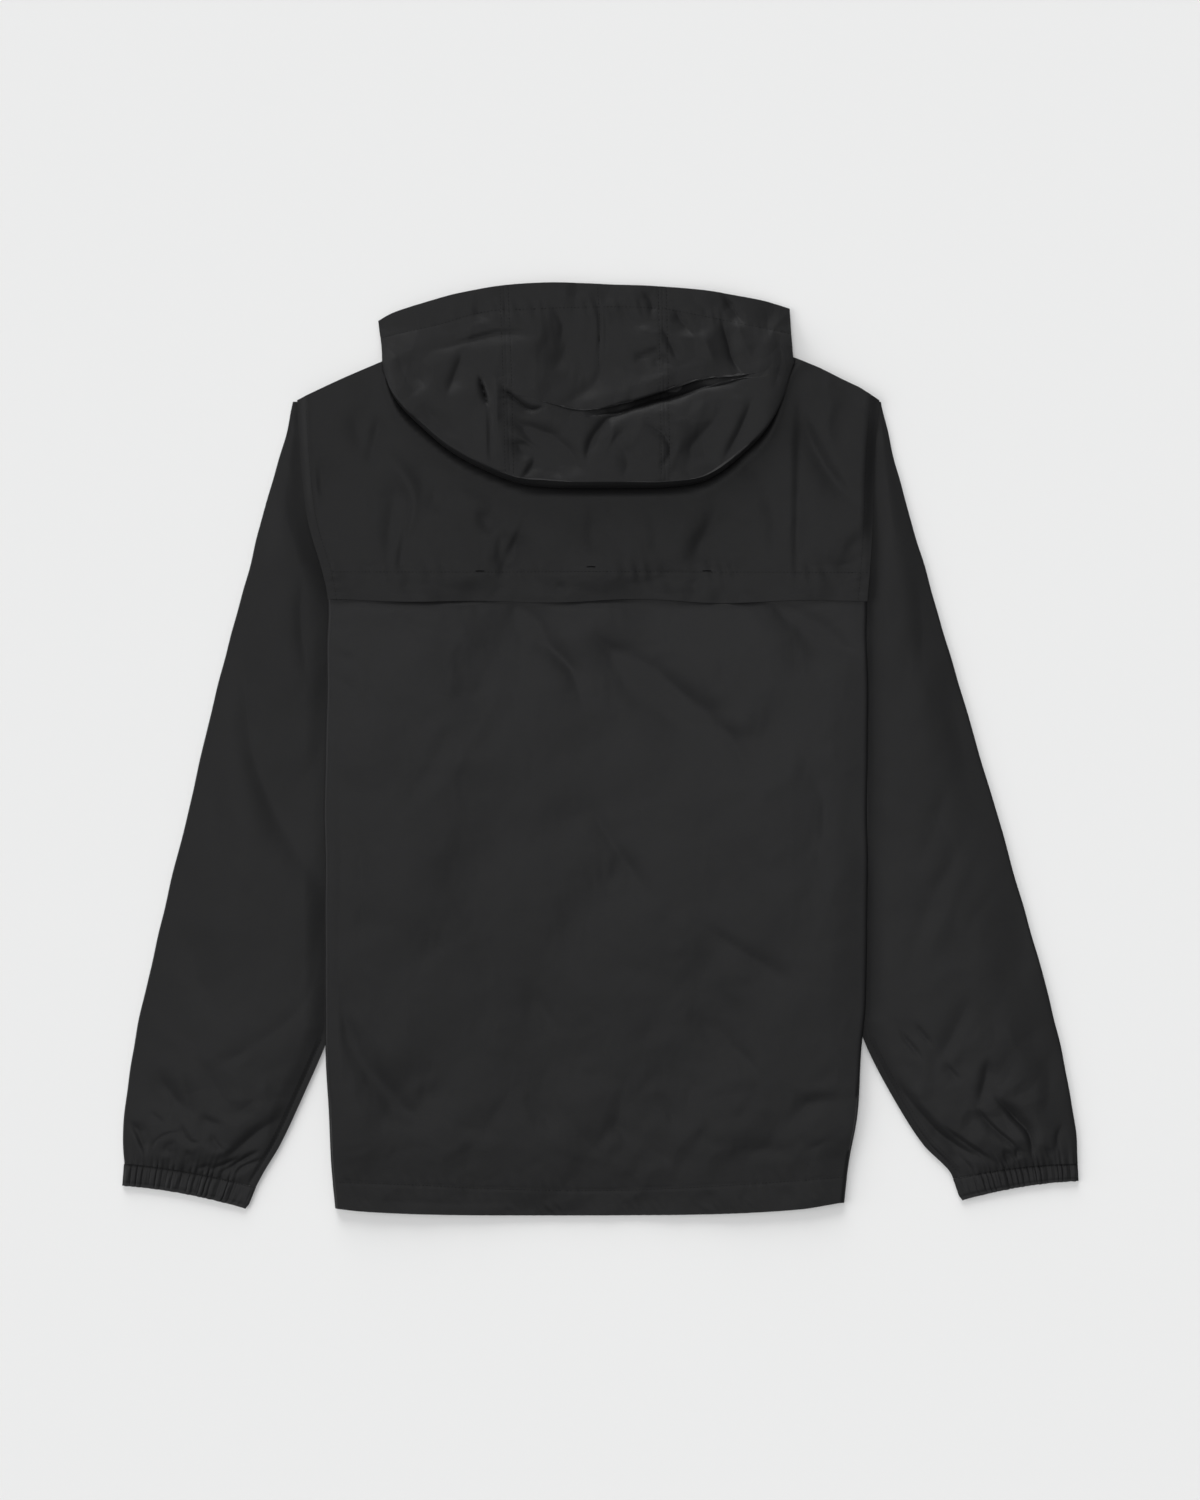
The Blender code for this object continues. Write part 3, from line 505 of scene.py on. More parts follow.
# How far each side of the body is folded under, from the armhole down.
Depth = namedtuple("Depth", "y under")
TUCK_LINE = (
    Depth(300.0, 8.0),
    Depth(153.0, 8.0),
    Depth(140.0, 12.0),
    Depth(120.0, 27.0),
    Depth(90.0, 46.0),
    Depth(60.0, 58.0),
    Depth(30.0, TUCK),
    Depth(-400.0, TUCK),
)


def edge(rows, side, y):
    """The x of a side's edge in a table."""
    return read(rows, y, SIDES[side][0])


def inset(y):
    """Distance from the body's visible edge in to the fold of the front."""
    return PLY + YOKE_OVERHANG * smooth((y - 127.0) / 20.0)


def fold_centre(y):
    """Distance from the body's visible edge in to the centre of its side folds."""
    return inset(y) + HALF + SMALL_FOLD


def half_width(side, y):
    """Distance from the body's visible edge to the zip."""
    return np.abs(edge(BODY_EDGE, side, y) - ZIP_X)


def curved(x, y_row, top=None):
    """The y of a point of a row, which follows the hem below and the neck above."""
    part = smooth((HEM_CURVE_Y - y_row) / (HEM_CURVE_Y - HEM_Y))
    y = y_row + read(HEM_LINE, x) * part
    if top:
        part = smooth((y_row - NECK_CURVE_Y) / (SHOULDER_Y - NECK_CURVE_Y))
        y = y + (top(x) - SHOULDER_Y) * part
    return y


def back_top(x):
    """The shoulder line and the nape."""
    return straight(BACK_TOP, x)


def front_top(x):
    """The shoulder line and the front of the neck."""
    inside = (x > FRONT_NECK[0].x) & (x < FRONT_NECK[-1].x)
    return np.where(inside, straight(FRONT_NECK, x), back_top(x))


def lift(side, s, y, run=26.0):
    """Height of the body's lowest ply, which lies over the sleeve at the sides."""
    inside = s + np.abs(edge(SLEEVE_INNER, side, y)) - np.abs(edge(BODY_EDGE, side, y))
    over = 1.0 - smooth((inside - 20.0) / run)
    return SLEEVE_LIFT * over * smooth((168.0 - y) / 26.0)


def under_ply(y):
    """Room for the back's tuck beneath the front's."""
    return PLY * smooth((172.0 - y) / 16.0)


def front_height(side, s, y):
    """Height of the under face of the front."""
    inward = smooth((s - read(TUCK_LINE, y) - 2.0) / 42.0)
    return lift(side, s, y) + (under_ply(y) + PLY) * (1.0 - inward)


def back_height(side, s, y):
    """Height of the under face of the back, just above the front with its loft."""
    under = read(TUCK_LINE, y)
    inward = smooth((s - under - 2.0) / 110.0)
    x = edge(BODY_EDGE, side, y) + SIDES[side][1] * s
    loft = BODY_LOFT * smooth((s - under) / 90.0) * smooth((y - HEM_Y) / 40.0)
    loft = loft * (1.0 - 0.45 * smooth((y - 190.0) / 20.0))
    near_zip = 1.0 - smooth((np.abs(x - ZIP_X) - 8.0) / 45.0)
    loft = loft + PULL_RISE * smooth((y - 235.0) / 15.0) * near_zip
    return lift(side, s, y, 90.0) + (under_ply(y) + PLY) * (1.0 - inward) + PLY + loft


def front_row(side, y, cells):
    """The front on one row: its tuck, its side fold, and its run to the zip."""
    near, under = fold_centre(y), read(TUCK_LINE, y)
    below = np.linspace(under, near, 9)
    fold_s, fold_z = arc(near, SMALL_FOLD, -0.5, -1.5, 6)
    above = np.linspace(near, half_width(side, y) - ZIP_EDGE, cells)
    low = lift(side, near, y) + under_ply(y)
    to_zip = 1.0 - smooth((above - half_width(side, y) + 40.0) / 28.0)
    s = np.concatenate([below, fold_s, above])
    z = np.concatenate([
        lift(side, below, y) + under_ply(y),
        low + fold_z,
        front_height(side, above, y) * to_zip,
    ]) + HALF
    return s, z


def hug(relief, room, most=4.0):
    """Keep a relief between the ply beneath, at -room, and a highest rise."""
    return np.clip(most * np.tanh(relief / most), -room, None)


for side in SIDES:
    across = []
    for y in steps((292.0, 6.0), (150.0, 5.0), (-300.0, 5.0), (-356.0, 2.6), (-388.0, 0)):
        s, z = front_row(side, y, 50)
        x = edge(BODY_EDGE, side, y) + SIDES[side][1] * s
        across.append(np.stack([x, curved(x, y, front_top), z], 1))
    middle = np.array(across)
    free = smooth((middle[..., 2] - HALF) / 0.8)
    relief = 0.25 * crumple(middle[..., 0], middle[..., 1], 70.0, 11)
    middle[..., 2] += hug(relief, 0.2, 0.2) * free
    front = ply(f"front_{side}_cloth", middle, cloth_finish)
    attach(front, "root")
    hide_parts(f"front_{side}")


# ---------------------------------------------------------------------------------------
# The lower back: one wide panel from the vent in the yoke to the hem, which is turned up
# and topstitched. It is turned under at both sides and drops into soft troughs.
# ---------------------------------------------------------------------------------------
BACK_CREASES = (
    Crease(((-77, 140), (-65, 115), (-45, 90), (-7, 52)), 10, -4.2, 0.05),
    Crease(((-78, 92), (-83, 50), (-102, 10), (-142, -42), (-180, -77)), 13, 0.9, 0.2),
    Crease(((-123, 42), (-133, 8), (-158, -33), (-183, -52)), 13, -1.1, 0.2),
    Crease(((-37, 92), (-25, 62), (-10, 22)), 9, -1.6, 0.2),
    Crease(((-25, 115), (10, 83), (50, 50), (93, 23), (130, 5)), 14, -5.8, 0.05),
    Crease(((97, 23), (113, -2), (128, -35)), 10, -1.9, -0.2),
    Crease(((118, 140), (155, 115), (195, 90), (243, 68)), 11, -4.4, 0.05),
    Crease(((87, 122), (125, 92), (167, 65), (200, 50)), 12, 0.4, 0),
    Crease(((-173, 112), (-146, 102), (-112, 97)), 8, -2, 0.3),
    Crease(((-130, 48), (-107, 50), (-83, 58)), 10, -1.4, 0.3),
    Crease(((-230, 87), (-212, 78), (-197, 72)), 3.6, -1.8, 0.3),
    Crease(((-230, 65), (-213, 57), (-202, 48)), 3.6, -1.6, 0.3),
    Crease(((-230, 42), (-215, 35)), 3.2, -1.2, 0.3),
    Crease(((-230, 107), (-217, 105), (-207, 98)), 3.4, -1.6, 0.3),
    Crease(((-13, -35), (12, -80), (52, -133)), 9, -2.2, 0.05),
    Crease(((-148, -138), (-125, -173), (-107, -202)), 12, -1.4, 0.2),
    Crease(((73, -137), (118, -168), (167, -198)), 8, -2, 0.05),
    Crease(((67, -217), (107, -245), (147, -282)), 7, -2, 0.05),
    Crease(((-65, -198), (-45, -217), (-27, -235)), 8, -1.5, 0.3),
    Crease(((-225, -175), (-207, -242), (-178, -285), (-128, -325)), 15, -4.4, 0.05),
    Crease(((-219, 42), (-216, -83), (-218, -208), (-213, -333)), 5, 1.5, 0),
    Crease(((-207, -42), (-200, -117), (-203, -192)), 8, -1.6, 0.2),
    Crease(((152, -318), (167, -298), (187, -290), (215, -292)), 5, -1.5, 0.4),
    Crease(((157, -328), (177, -310), (210, -306)), 4, 0.5, 0),
    Crease(((167, -335), (192, -325), (207, -333)), 3, -1.2, 0.3),
    Crease(((3, -305), (18, -318), (28, -330)), 2.8, -0.9, 0.05),
    Crease(((42, -282), (57, -298), (63, -318)), 3.2, -0.8, 0.05),
    Crease(((-23, -315), (-3, -335), (8, -342)), 2.8, -0.8, 0.05),
    Crease(((75, -315), (93, -327), (110, -330)), 3.2, -0.8, 0.05),
    Crease(((-67, -287), (-47, -302), (-40, -323)), 4, -0.8, 0.05),
    Crease(((-110, -290), (-95, -313), (-100, -335)), 5, -0.8, 0.05),
    Crease(((-33, -260), (-13, -270), (10, -267)), 4.5, -0.8, 0.05),
    Crease(((30, -325), (50, -338), (57, -352)), 2.6, -0.7, 0.05),
    Crease(((33, -122), (75, -150), (85, -185)), 12, 1.4, 0.2),
    Crease(((165, -4), (183, -47), (177, -102)), 13, -1.6, 0.2),
    Crease(((-83, -83), (-50, -108), (-33, -150)), 14, 1.3, 0),
    Crease(((-158, 75), (-158, -125), (-158, -355)), 2.6, 0.18, 1),
    Crease(((157, 75), (157, -125), (157, -353)), 2.6, 0.18, -1),
    Crease(((-215, -374), (-133, -378), (-46, -378)), 1.8, -0.7, 0),
    Crease(((53, -367), (60, -375), (57, -383)), 2.2, -0.9, 0.5),
    Crease(((83, -365), (93, -373), (97, -384)), 2.2, -0.9, 0.5),
    Crease(((118, -365), (123, -375), (118, -382)), 2.2, -0.8, 0.5),
    Crease(((150, -364), (160, -372), (164, -382)), 2.2, -0.9, 0.5),
)
HEM_STITCH = ((-222, -360), (-154, -362.5), (-91, -365.8), (5, -367.5), (101, -363.3), (206, -355.8))


def body_row(y, cells, height, folded):
    """One row across the body from its left side to its right, as x and z."""
    halves = []
    for side, (_, inward) in SIDES.items():
        near, under = fold_centre(y), read(TUCK_LINE, y)
        above = np.linspace(near if folded else 0.0, half_width(side, y), cells)
        s, z = above, height(side, np.maximum(above, near), y)
        if folded:
            below = np.linspace(under, near, 9)
            fold_s, fold_z = arc(near, SIDE_FOLD, -0.5, -1.5, 8)
            low = lift(side, near, y)
            s = np.concatenate([below, fold_s, above])
            z = np.concatenate([lift(side, below, y), low + fold_z, z])
        halves.append((edge(BODY_EDGE, side, y) + inward * s, z + HALF))
    (left_x, left_z), (right_x, right_z) = halves
    middle = (left_z[-1] + right_z[-1]) / 2.0
    x = np.concatenate([left_x[:-1], [ZIP_X], right_x[-2::-1]])
    return x, np.concatenate([left_z[:-1], [middle], right_z[-2::-1]])


def body_relief(x, y):
    """The broad rise and fall that the back shares with the yoke above it."""
    relief = 0.8 * swell(x, y, 130.0, 3, (1.0, 1.4)) + 0.4 * swell(x, y, 52.0, 16, (1.0, 1.3))
    relief += 0.9 * facets(x, y, 58.0, 18) + 0.5 * facets(x, y, 26.0, 27)
    return relief + 0.15 * crumple(x, y, 30.0, 7) + 0.08 * crumple(x, y, 13.0, 8)


def facets(x, y, size, seed):
    """Flat facets of about one size with straight creases between, as crumpled nylon has."""
    draw = np.random.default_rng(seed)
    turn, heights = draw.uniform(0.0, pi), draw.uniform(-1.0, 1.0, (97, 97))
    x = x + 0.3 * size * swell(x, y, 2.4 * size, seed + 1)
    y = y + 0.3 * size * swell(x, y, 2.4 * size, seed + 2)
    v = (y * np.cos(turn) - x * np.sin(turn)) / size
    u = (x * np.cos(turn) + y * np.sin(turn)) / size - v / 2.0
    i, j = np.floor(u).astype(int), np.floor(v).astype(int)
    u, v = u - i, v - j
    near, right = heights[i % 97, j % 97], heights[(i + 1) % 97, j % 97]
    above, far = heights[i % 97, (j + 1) % 97], heights[(i + 1) % 97, (j + 1) % 97]
    return np.where(u + v < 1.0, near + (right - near) * u + (above - near) * v,
                    far + (above - far) * (1.0 - u) + (right - far) * (1.0 - v))


def above_line(line, x, y):
    """How far each point lies above a line of stitches."""
    return y - np.interp(x, [p[0] for p in line], [p[1] for p in line])


def puckers(x, y, line, size, reach, seed, lean=0.25):
    """Short gathers that stand across a line of stitches, of uneven size."""
    away = above_line(line, x, y)
    drift = 0.35 * size * swell(x, y * 0.2, 5.0 * size, seed)
    wave = np.sin(2.0 * pi * (x + drift + lean * away) / size)
    strong = 0.55 + 0.45 * swell(x, y * 0.1, 7.0 * size, seed + 4)
    return wave * strong * np.exp(-(away / reach) ** 2)


BACK_CELLS = 112
back_rows = steps((153.0, 3.0), (110.0, 3.4), (40.0, 4.2), (-330.0, 2.4), (-350.0, 1.7), (HEM_Y, 0))
across = []
for y in back_rows:
    x, z = body_row(y, BACK_CELLS, back_height, True)
    across.append(np.stack([x, curved(x, y), z], 1))
middle = np.array(across)
x, y = middle[..., 0], middle[..., 1]
column = np.arange(middle.shape[1])
from_side = np.minimum(column, column[::-1])
top_run = smooth((from_side - 9.0) / 22.0)
relief = pressed(leaned(BACK_CREASES, 0.3), x, y, 1.0) + body_relief(x, y) + 2.2
relief += 0.8 * facets(x, y, 17.0, 27) * smooth((-235.0 - y) / 70.0)
relief *= 1.0 - 0.55 * smooth((-318.0 - y) / 45.0)
relief += 0.42 * puckers(x, y, HEM_STITCH, 11.0, 7.0, 21, 0.5)
relief += 0.36 * puckers(x, y, [(at, line_y - 17.0) for at, line_y in HEM_STITCH], 8.5, 6.0, 25, 0.8)
hem_away = above_line(HEM_STITCH, x, y)
hem = smooth(-hem_away / 1.5)
relief += 0.06 * hem - 0.22 * np.exp(-(hem_away / 0.9) ** 2)
middle[..., 2] += hug(relief, 0.9, 5.0) * top_run * (1.0 - smooth((y - 118.0) / 10.0))
waver = 0.7 * swell(y, y * 0.0, 60.0, 9) * (1.0 - smooth((from_side - 16.0) / 12.0))
middle[..., 0] += waver * smooth((from_side - 8.0) / 3.0) * smooth((118.0 - y) / 20.0)
back = ply("back_cloth", middle, back_finish, THIN + 0.1 * hem)
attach(back, "root")
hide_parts("back_lower")


def thread_finish():
    """Polyester thread: a little glossier than the cloth it is sewn in."""
    finish = Finish("black_thread", Roughness=0.8, Specular_IOR_Level=0.05)
    place = finish.node("TexCoord", output=3)
    twist = finish.node("TexNoise", None, {0: place, 2: 900.0, 3: 1.0}, 0)
    colour = finish.blend(twist, (0.0012, 0.0012, 0.0013, 1.0), (0.0045, 0.0045, 0.0047, 1.0))
    return finish.end(Base_Color=colour)


def node_maker(tree):
    """A function that adds one node to a tree, with the values or links of its sockets."""
    def node(kind, inputs=None, **settings):
        made = tree.nodes.new(kind)
        for setting, value in settings.items():
            setattr(made, setting, value)
        for place, value in (inputs or {}).items():
            if isinstance(value, bpy.types.NodeSocket):
                tree.links.new(value, made.inputs[place])
            else:
                made.inputs[place].default_value = value
        return made.outputs

    return node


def grown(name, points, tree, values, edges=None):
    """The plain mesh that a tree makes along lines of points, in metres."""
    mesh = bpy.data.meshes.new(name)
    mesh.from_pydata([tuple(point) for point in points],
                     edges or [(k, k + 1) for k in range(len(points) - 1)], [])
    made = bpy.data.objects.new(name, mesh)
    bpy.context.scene.collection.objects.link(made)
    modifier = made.modifiers.new(tree.name, "NODES")
    modifier.node_group = tree
    sockets = {item.name: item.identifier for item in tree.interface.items_tree
               if item.in_out == "INPUT"}
    for socket, value in values.items():
        modifier[sockets[socket]] = value
    made.update_tag()
    bpy.context.view_layer.update()
    grown_mesh = bpy.data.meshes.new_from_object(
        made.evaluated_get(bpy.context.evaluated_depsgraph_get()))
    made.modifiers.clear()
    made.data = grown_mesh
    return made


def stitch_tree(thread):
    """Stitches of one length, one after another along every line of a mesh."""
    tree = bpy.data.node_groups.new("Stitches", "GeometryNodeTree")
    tree.interface.new_socket("Geometry", in_out="INPUT", socket_type="NodeSocketGeometry")
    for name, value in (("Pitch", 0.003), ("Stitch length", 0.0022), ("Thread", 0.0003)):
        made = tree.interface.new_socket(name, in_out="INPUT", socket_type="NodeSocketFloat")
        made.default_value = value
    tree.interface.new_socket("Geometry", in_out="OUTPUT", socket_type="NodeSocketGeometry")
    node = node_maker(tree)
    given = node("NodeGroupInput")
    line = node("GeometryNodeMeshToCurve", {"Mesh": given["Geometry"]})["Curve"]
    spaced = node("GeometryNodeResampleCurve", {"Curve": line, "Length": given["Pitch"]},
                  mode="LENGTH")["Curve"]
    turned = node("FunctionNodeAlignEulerToVector", {
        "Vector": node("GeometryNodeInputTangent")["Tangent"]}, axis="X")["Rotation"]
    bead = node("GeometryNodeMeshUVSphere", {"Segments": 6, "Rings": 4, "Radius": 0.5})["Mesh"]
    size = node("ShaderNodeCombineXYZ", {
        "X": given["Stitch length"], "Y": given["Thread"], "Z": given["Thread"]})["Vector"]
    one = node("GeometryNodeTransform", {"Geometry": bead, "Scale": size})["Geometry"]
    row = node("GeometryNodeInstanceOnPoints", {
        "Points": spaced, "Instance": one, "Rotation": turned})["Instances"]
    real = node("GeometryNodeRealizeInstances", {"Geometry": row})["Geometry"]
    soft = node("GeometryNodeSetShadeSmooth", {"Geometry": real})["Geometry"]
    done = node("GeometryNodeSetMaterial", {"Geometry": soft, "Material": thread})["Geometry"]
    node("NodeGroupOutput", {"Geometry": done})
    return tree


stitches = stitch_tree(thread_finish())


def drop(points, piece, sink=0.00004):
    """Points in millimetres let down from above onto a piece, in metres."""
    mesh = piece.data
    tree = BVHTree.FromPolygons([v.co for v in mesh.vertices], [p.vertices for p in mesh.polygons])
    found = []
    for x, y in points:
        start = Vector(((x - MIDDLE[0]) * MM, (y - MIDDLE[1]) * MM, 0.2))
        hit = tree.ray_cast(start, Vector((0.0, 0.0, -1.0)))[0]
        if hit:
            found.append(hit - Vector((0.0, 0.0, sink)))
    return found


def sew(name, piece, lines, pitch=3.0, length=2.2, thread=0.38):
    """Sew rows of stitches in a piece, each along a line on its upper face."""
    points, edges = [], []
    for line in lines:
        laid = drop(spread(line, 24), piece)
        edges += [(len(points) + k, len(points) + k + 1) for k in range(len(laid) - 1)]
        points += laid
    rows = grown(name, points, stitches, {
        "Pitch": pitch * MM, "Stitch length": length * MM, "Thread": thread * MM}, edges)
    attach(rows, "root")
    return rows


def beside(line, distance):
    """A line moved to its left by a distance."""
    path = np.array(line, float)
    run = np.gradient(path, axis=0)
    run /= np.hypot(run[:, 0], run[:, 1])[:, None]
    return path + distance * np.stack([-run[:, 1], run[:, 0]], 1)


back_sewing = sew("back_stitches", back, [HEM_STITCH])


# ---------------------------------------------------------------------------------------
# The yoke: a second panel over the shoulders. A line of stitches and three bar tacks hold
# it, and below them its edge hangs free as a flap over the vent.
# ---------------------------------------------------------------------------------------
YOKE_CREASES = (
    Crease(((-229, 250), (-234, 225), (-229, 198)), 3.5, -1.4, 0.4),
    Crease(((-237, 248), (-232, 227), (-232, 204)), 1.6, -1, 0.4),
    Crease(((-212, 288), (-207, 262), (-202, 237)), 8, -2.6, 0.3),
    Crease(((-186, 283), (-191, 258), (-198, 233)), 4.5, -2.8, 0.3),
    Crease(((-197, 260), (-175, 242), (-160, 223), (-156, 205), (-161, 178), (-168, 148)), 6, 3.4, 0),
    Crease(((-162, 225), (-163, 192), (-167, 168), (-171, 142)), 2.6, -2.8, 0.4),
    Crease(((-170, 233), (-178, 200), (-183, 147)), 7, -2.1, 0.3),
    Crease(((-58, 220), (-64, 193), (-74, 171), (-88, 140)), 2.8, -2.8, 0.5),
    Crease(((-55, 218), (-60, 192), (-70, 167)), 7, 2, 0),
    Crease(((-85, 188), (-86, 168), (-90, 148)), 4, -1.6, 0.3),
    Crease(((-105, 198), (-99, 187), (-93, 177)), 5, -2, 0.3),
    Crease(((-127, 223), (-108, 208), (-87, 203)), 8, 1.8, 0),
    Crease(((-142, 217), (-133, 208), (-128, 197)), 5, -1.6, 0.3),
    Crease(((164, 308), (162, 225), (161, 125)), 2.6, -2, 0.5),
    Crease(((167, 292), (177, 265), (188, 243), (200, 225), (212, 212), (222, 202)), 3.4, -3.8, 0.5),
    Crease(((93, 220), (87, 198), (77, 175), (67, 152)), 10, -3, -0.4),
    Crease(((130, 268), (122, 250), (110, 230)), 9, -2, 0.3),
    Crease(((197, 298), (191, 267), (202, 240)), 5, 1.2, 0.2),
    Crease(((-8, 203), (-12, 183), (-7, 158)), 6, -1.1, 0.3),
    Crease(((33, 203), (42, 183), (38, 158)), 6, -1.1, -0.3),
    Crease(((125, 228), (140, 192), (135, 152)), 7, -1.4, -0.3),
    Crease(((223, 188), (210, 177), (198, 162)), 5, -1.4, 0.2),
    Crease(((223, 168), (205, 158), (188, 155)), 7.3, -1.2, 0.2),
    Crease(((58, 142), (62, 135), (70, 125)), 3, -1.2, 0.2),
    Crease(((72, 142), (76, 133), (78, 125)), 3, -1.1, 0.2),
    Crease(((-33, 142), (-37, 133), (-33, 126)), 4, -1.2, 0.2),
    Crease(((-165, 142), (-157, 133), (-145, 125)), 4, -1.2, 0.2),
    Crease(((-83, 142), (-88, 133), (-97, 125)), 4, -1.3, 0.2),
    Crease(((190, 142), (195, 133), (192, 125)), 4, -1.3, 0.2),
)
YOKE_STITCH = ((-222, 148.3), (-100, 148.2), (0, 148.6), (120, 148.2), (222, 147.8))
# The line where the hood comes to rest on the yoke, which stays flat beneath it.
HOOD_REST = (
    (-230.0, 345.0), (-186.0, 330.0), (-170.0, 288.0), (-147.0, 264.0), (-118.0, 241.0),
    (-74.5, 220.5), (-44.0, 215.0), (54.5, 215.0), (88.0, 221.0), (118.0, 242.0),
    (143.0, 271.0), (162.0, 322.0), (230.0, 345.0),
)
Gape = namedtuple("Gape", "x0 x1 rise")
FLAP_GAPES = (
    Gape(-190.0, -112.0, 1.5),
    Gape(-67.0, -8.0, 1.2),
    Gape(36.0, 88.0, 1.4),
    Gape(106.0, 140.0, 1.2),
    Gape(152.0, 178.0, 1.1),
)


def yoke_height(side, s, y):
    """Height of the yoke's under face, which clears the back below its seam."""
    over = back_height(side, s, min(y, YOKE_SEAM_Y)) + PLY + GAP
    clear = back_height(side, s, max(y, 192.0))
    return clear + (over - clear) * smooth((232.0 - y) / (232.0 - YOKE_SEAM_Y))


across = []
for y in steps((292.0, 3.2), (160.0, 1.7), (FLAP_Y, 0)):
    x, z = body_row(y, 100, yoke_height, False)
    wave = 1.1 * np.sin(x / 21.0) + 0.8 * np.sin(x / 34.0 + 1.0)
    y_line = curved(x, y, back_top) + wave * smooth((YOKE_SEAM_Y - y) / 28.0)
    across.append(np.stack([x, y_line, z], 1))
middle = np.array(across)
x, y = middle[..., 0], middle[..., 1]
column = np.arange(middle.shape[1])
from_side = np.minimum(column, column[::-1])
below = smooth((146.0 - y) / 18.0)
relief = (pressed(leaned(YOKE_CREASES, 1.0), x, y, 1.6) + body_relief(x, y)) * (1.0 - 0.6 * below)
relief += 2.0 + 2.2 * smooth((y - 148.0) / 75.0)
relief += 0.3 * puckers(x, y, YOKE_STITCH, 13.0, 9.0, 31)
stitch_away = above_line(YOKE_STITCH, x, y)
relief -= 0.3 * np.exp(-(stitch_away / 1.1) ** 2)
for gape in FLAP_GAPES:
    part = np.clip((x - gape.x0) / (gape.x1 - gape.x0), 0.0, 1.0)
    relief += gape.rise * np.sin(pi * part) ** 1.4 * below ** 4
relief -= 1.5 * np.clip((148.0 - y) / 24.0, 0.0, 1.0)
for side, (_, inward) in SIDES.items():
    inset_x = inward * (x - edge(BODY_EDGE, side, y))
    drift = 2.0 * swell(y, inset_x * 0.3, 45.0, 35)
    relief += 0.2 * np.sin(2.0 * pi * (y + drift) / 11.0) * np.exp(-((inset_x - 7.0) / 7.0) ** 2)
    relief -= 0.3 * np.exp(-((inset_x - 7.5) / 1.0) ** 2)
relief += 0.35 * swell(x, y * 0.0, 26.0, 33) * below
below_hood = read(HOOD_REST, x) + 6.0 - y
relief += 3.4 * np.exp(-(np.maximum(below_hood, 0.0) / 13.0) ** 2)
bare = smooth(below_hood / 8.0)
relief = relief * bare + 0.3 * (1.0 - bare)
middle[..., 2] += hug(relief, 0.35, 6.5) * smooth(from_side / 4.0)
yoke = ply("yoke_cloth", middle, yoke_shaded_finish)
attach(yoke, "root")
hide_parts("back_yoke")
ARMHOLE_STITCH = {
    side: [(edge(BODY_EDGE, side, row) + inward * 7.5, row) for row in range(282, 124, -12)]
    for side, (_, inward) in SIDES.items()
}
BAR_TACKS = ((-100.0, 149.0), (-7.5, 152.5), (89.0, 149.2))
tacks = [[(tx - 3.2, ty), (tx, ty + 0.2), (tx + 3.2, ty)] for tx, ty in BAR_TACKS]
yoke_sewing = sew("yoke_stitches", yoke, [YOKE_STITCH, *ARMHOLE_STITCH.values()])
yoke_tacks = sew("yoke_bar_tacks", yoke, tacks, pitch=0.5, length=1.0, thread=1.1)


# ---------------------------------------------------------------------------------------
# The sleeves: each is one panel folded round its outer edge and joined along the
# underarm. They lie half beneath the body and are gathered into the cuffs.
# ---------------------------------------------------------------------------------------
# The outer fold of each sleeve, from the shoulder tip to the cuff seam.
SLEEVE_OUTER = (
    Edge(290.0, -256.4, 234.6),
    Edge(254.0, -265.0, 242.5),
    Edge(212.0, -276.8, 254.2),
    Edge(129.0, -299.2, 277.5),
    Edge(46.0, -320.8, 302.5),
    Edge(-38.0, -340.8, 326.7),
    Edge(-121.0, -360.8, 350.8),
    Edge(-204.0, -380.0, 374.2),
    Edge(-246.0, -388.9, 384.2),
    Edge(-288.0, -395.0, 392.5),
    Edge(-320.0, -398.3, 397.5),
    Edge(-348.0, -397.0, 398.6),
)
SLEEVE_END_DROP = {"left": 19.5, "right": 12.5}
SLEEVE_LOFT = 2.4
CUFF_SEAM_Y = -345.0
CUFF_BOW = 3.0
CUFF_GATHERS = 20
SLEEVE_LEAN = {"left": 0.8, "right": 1.0}
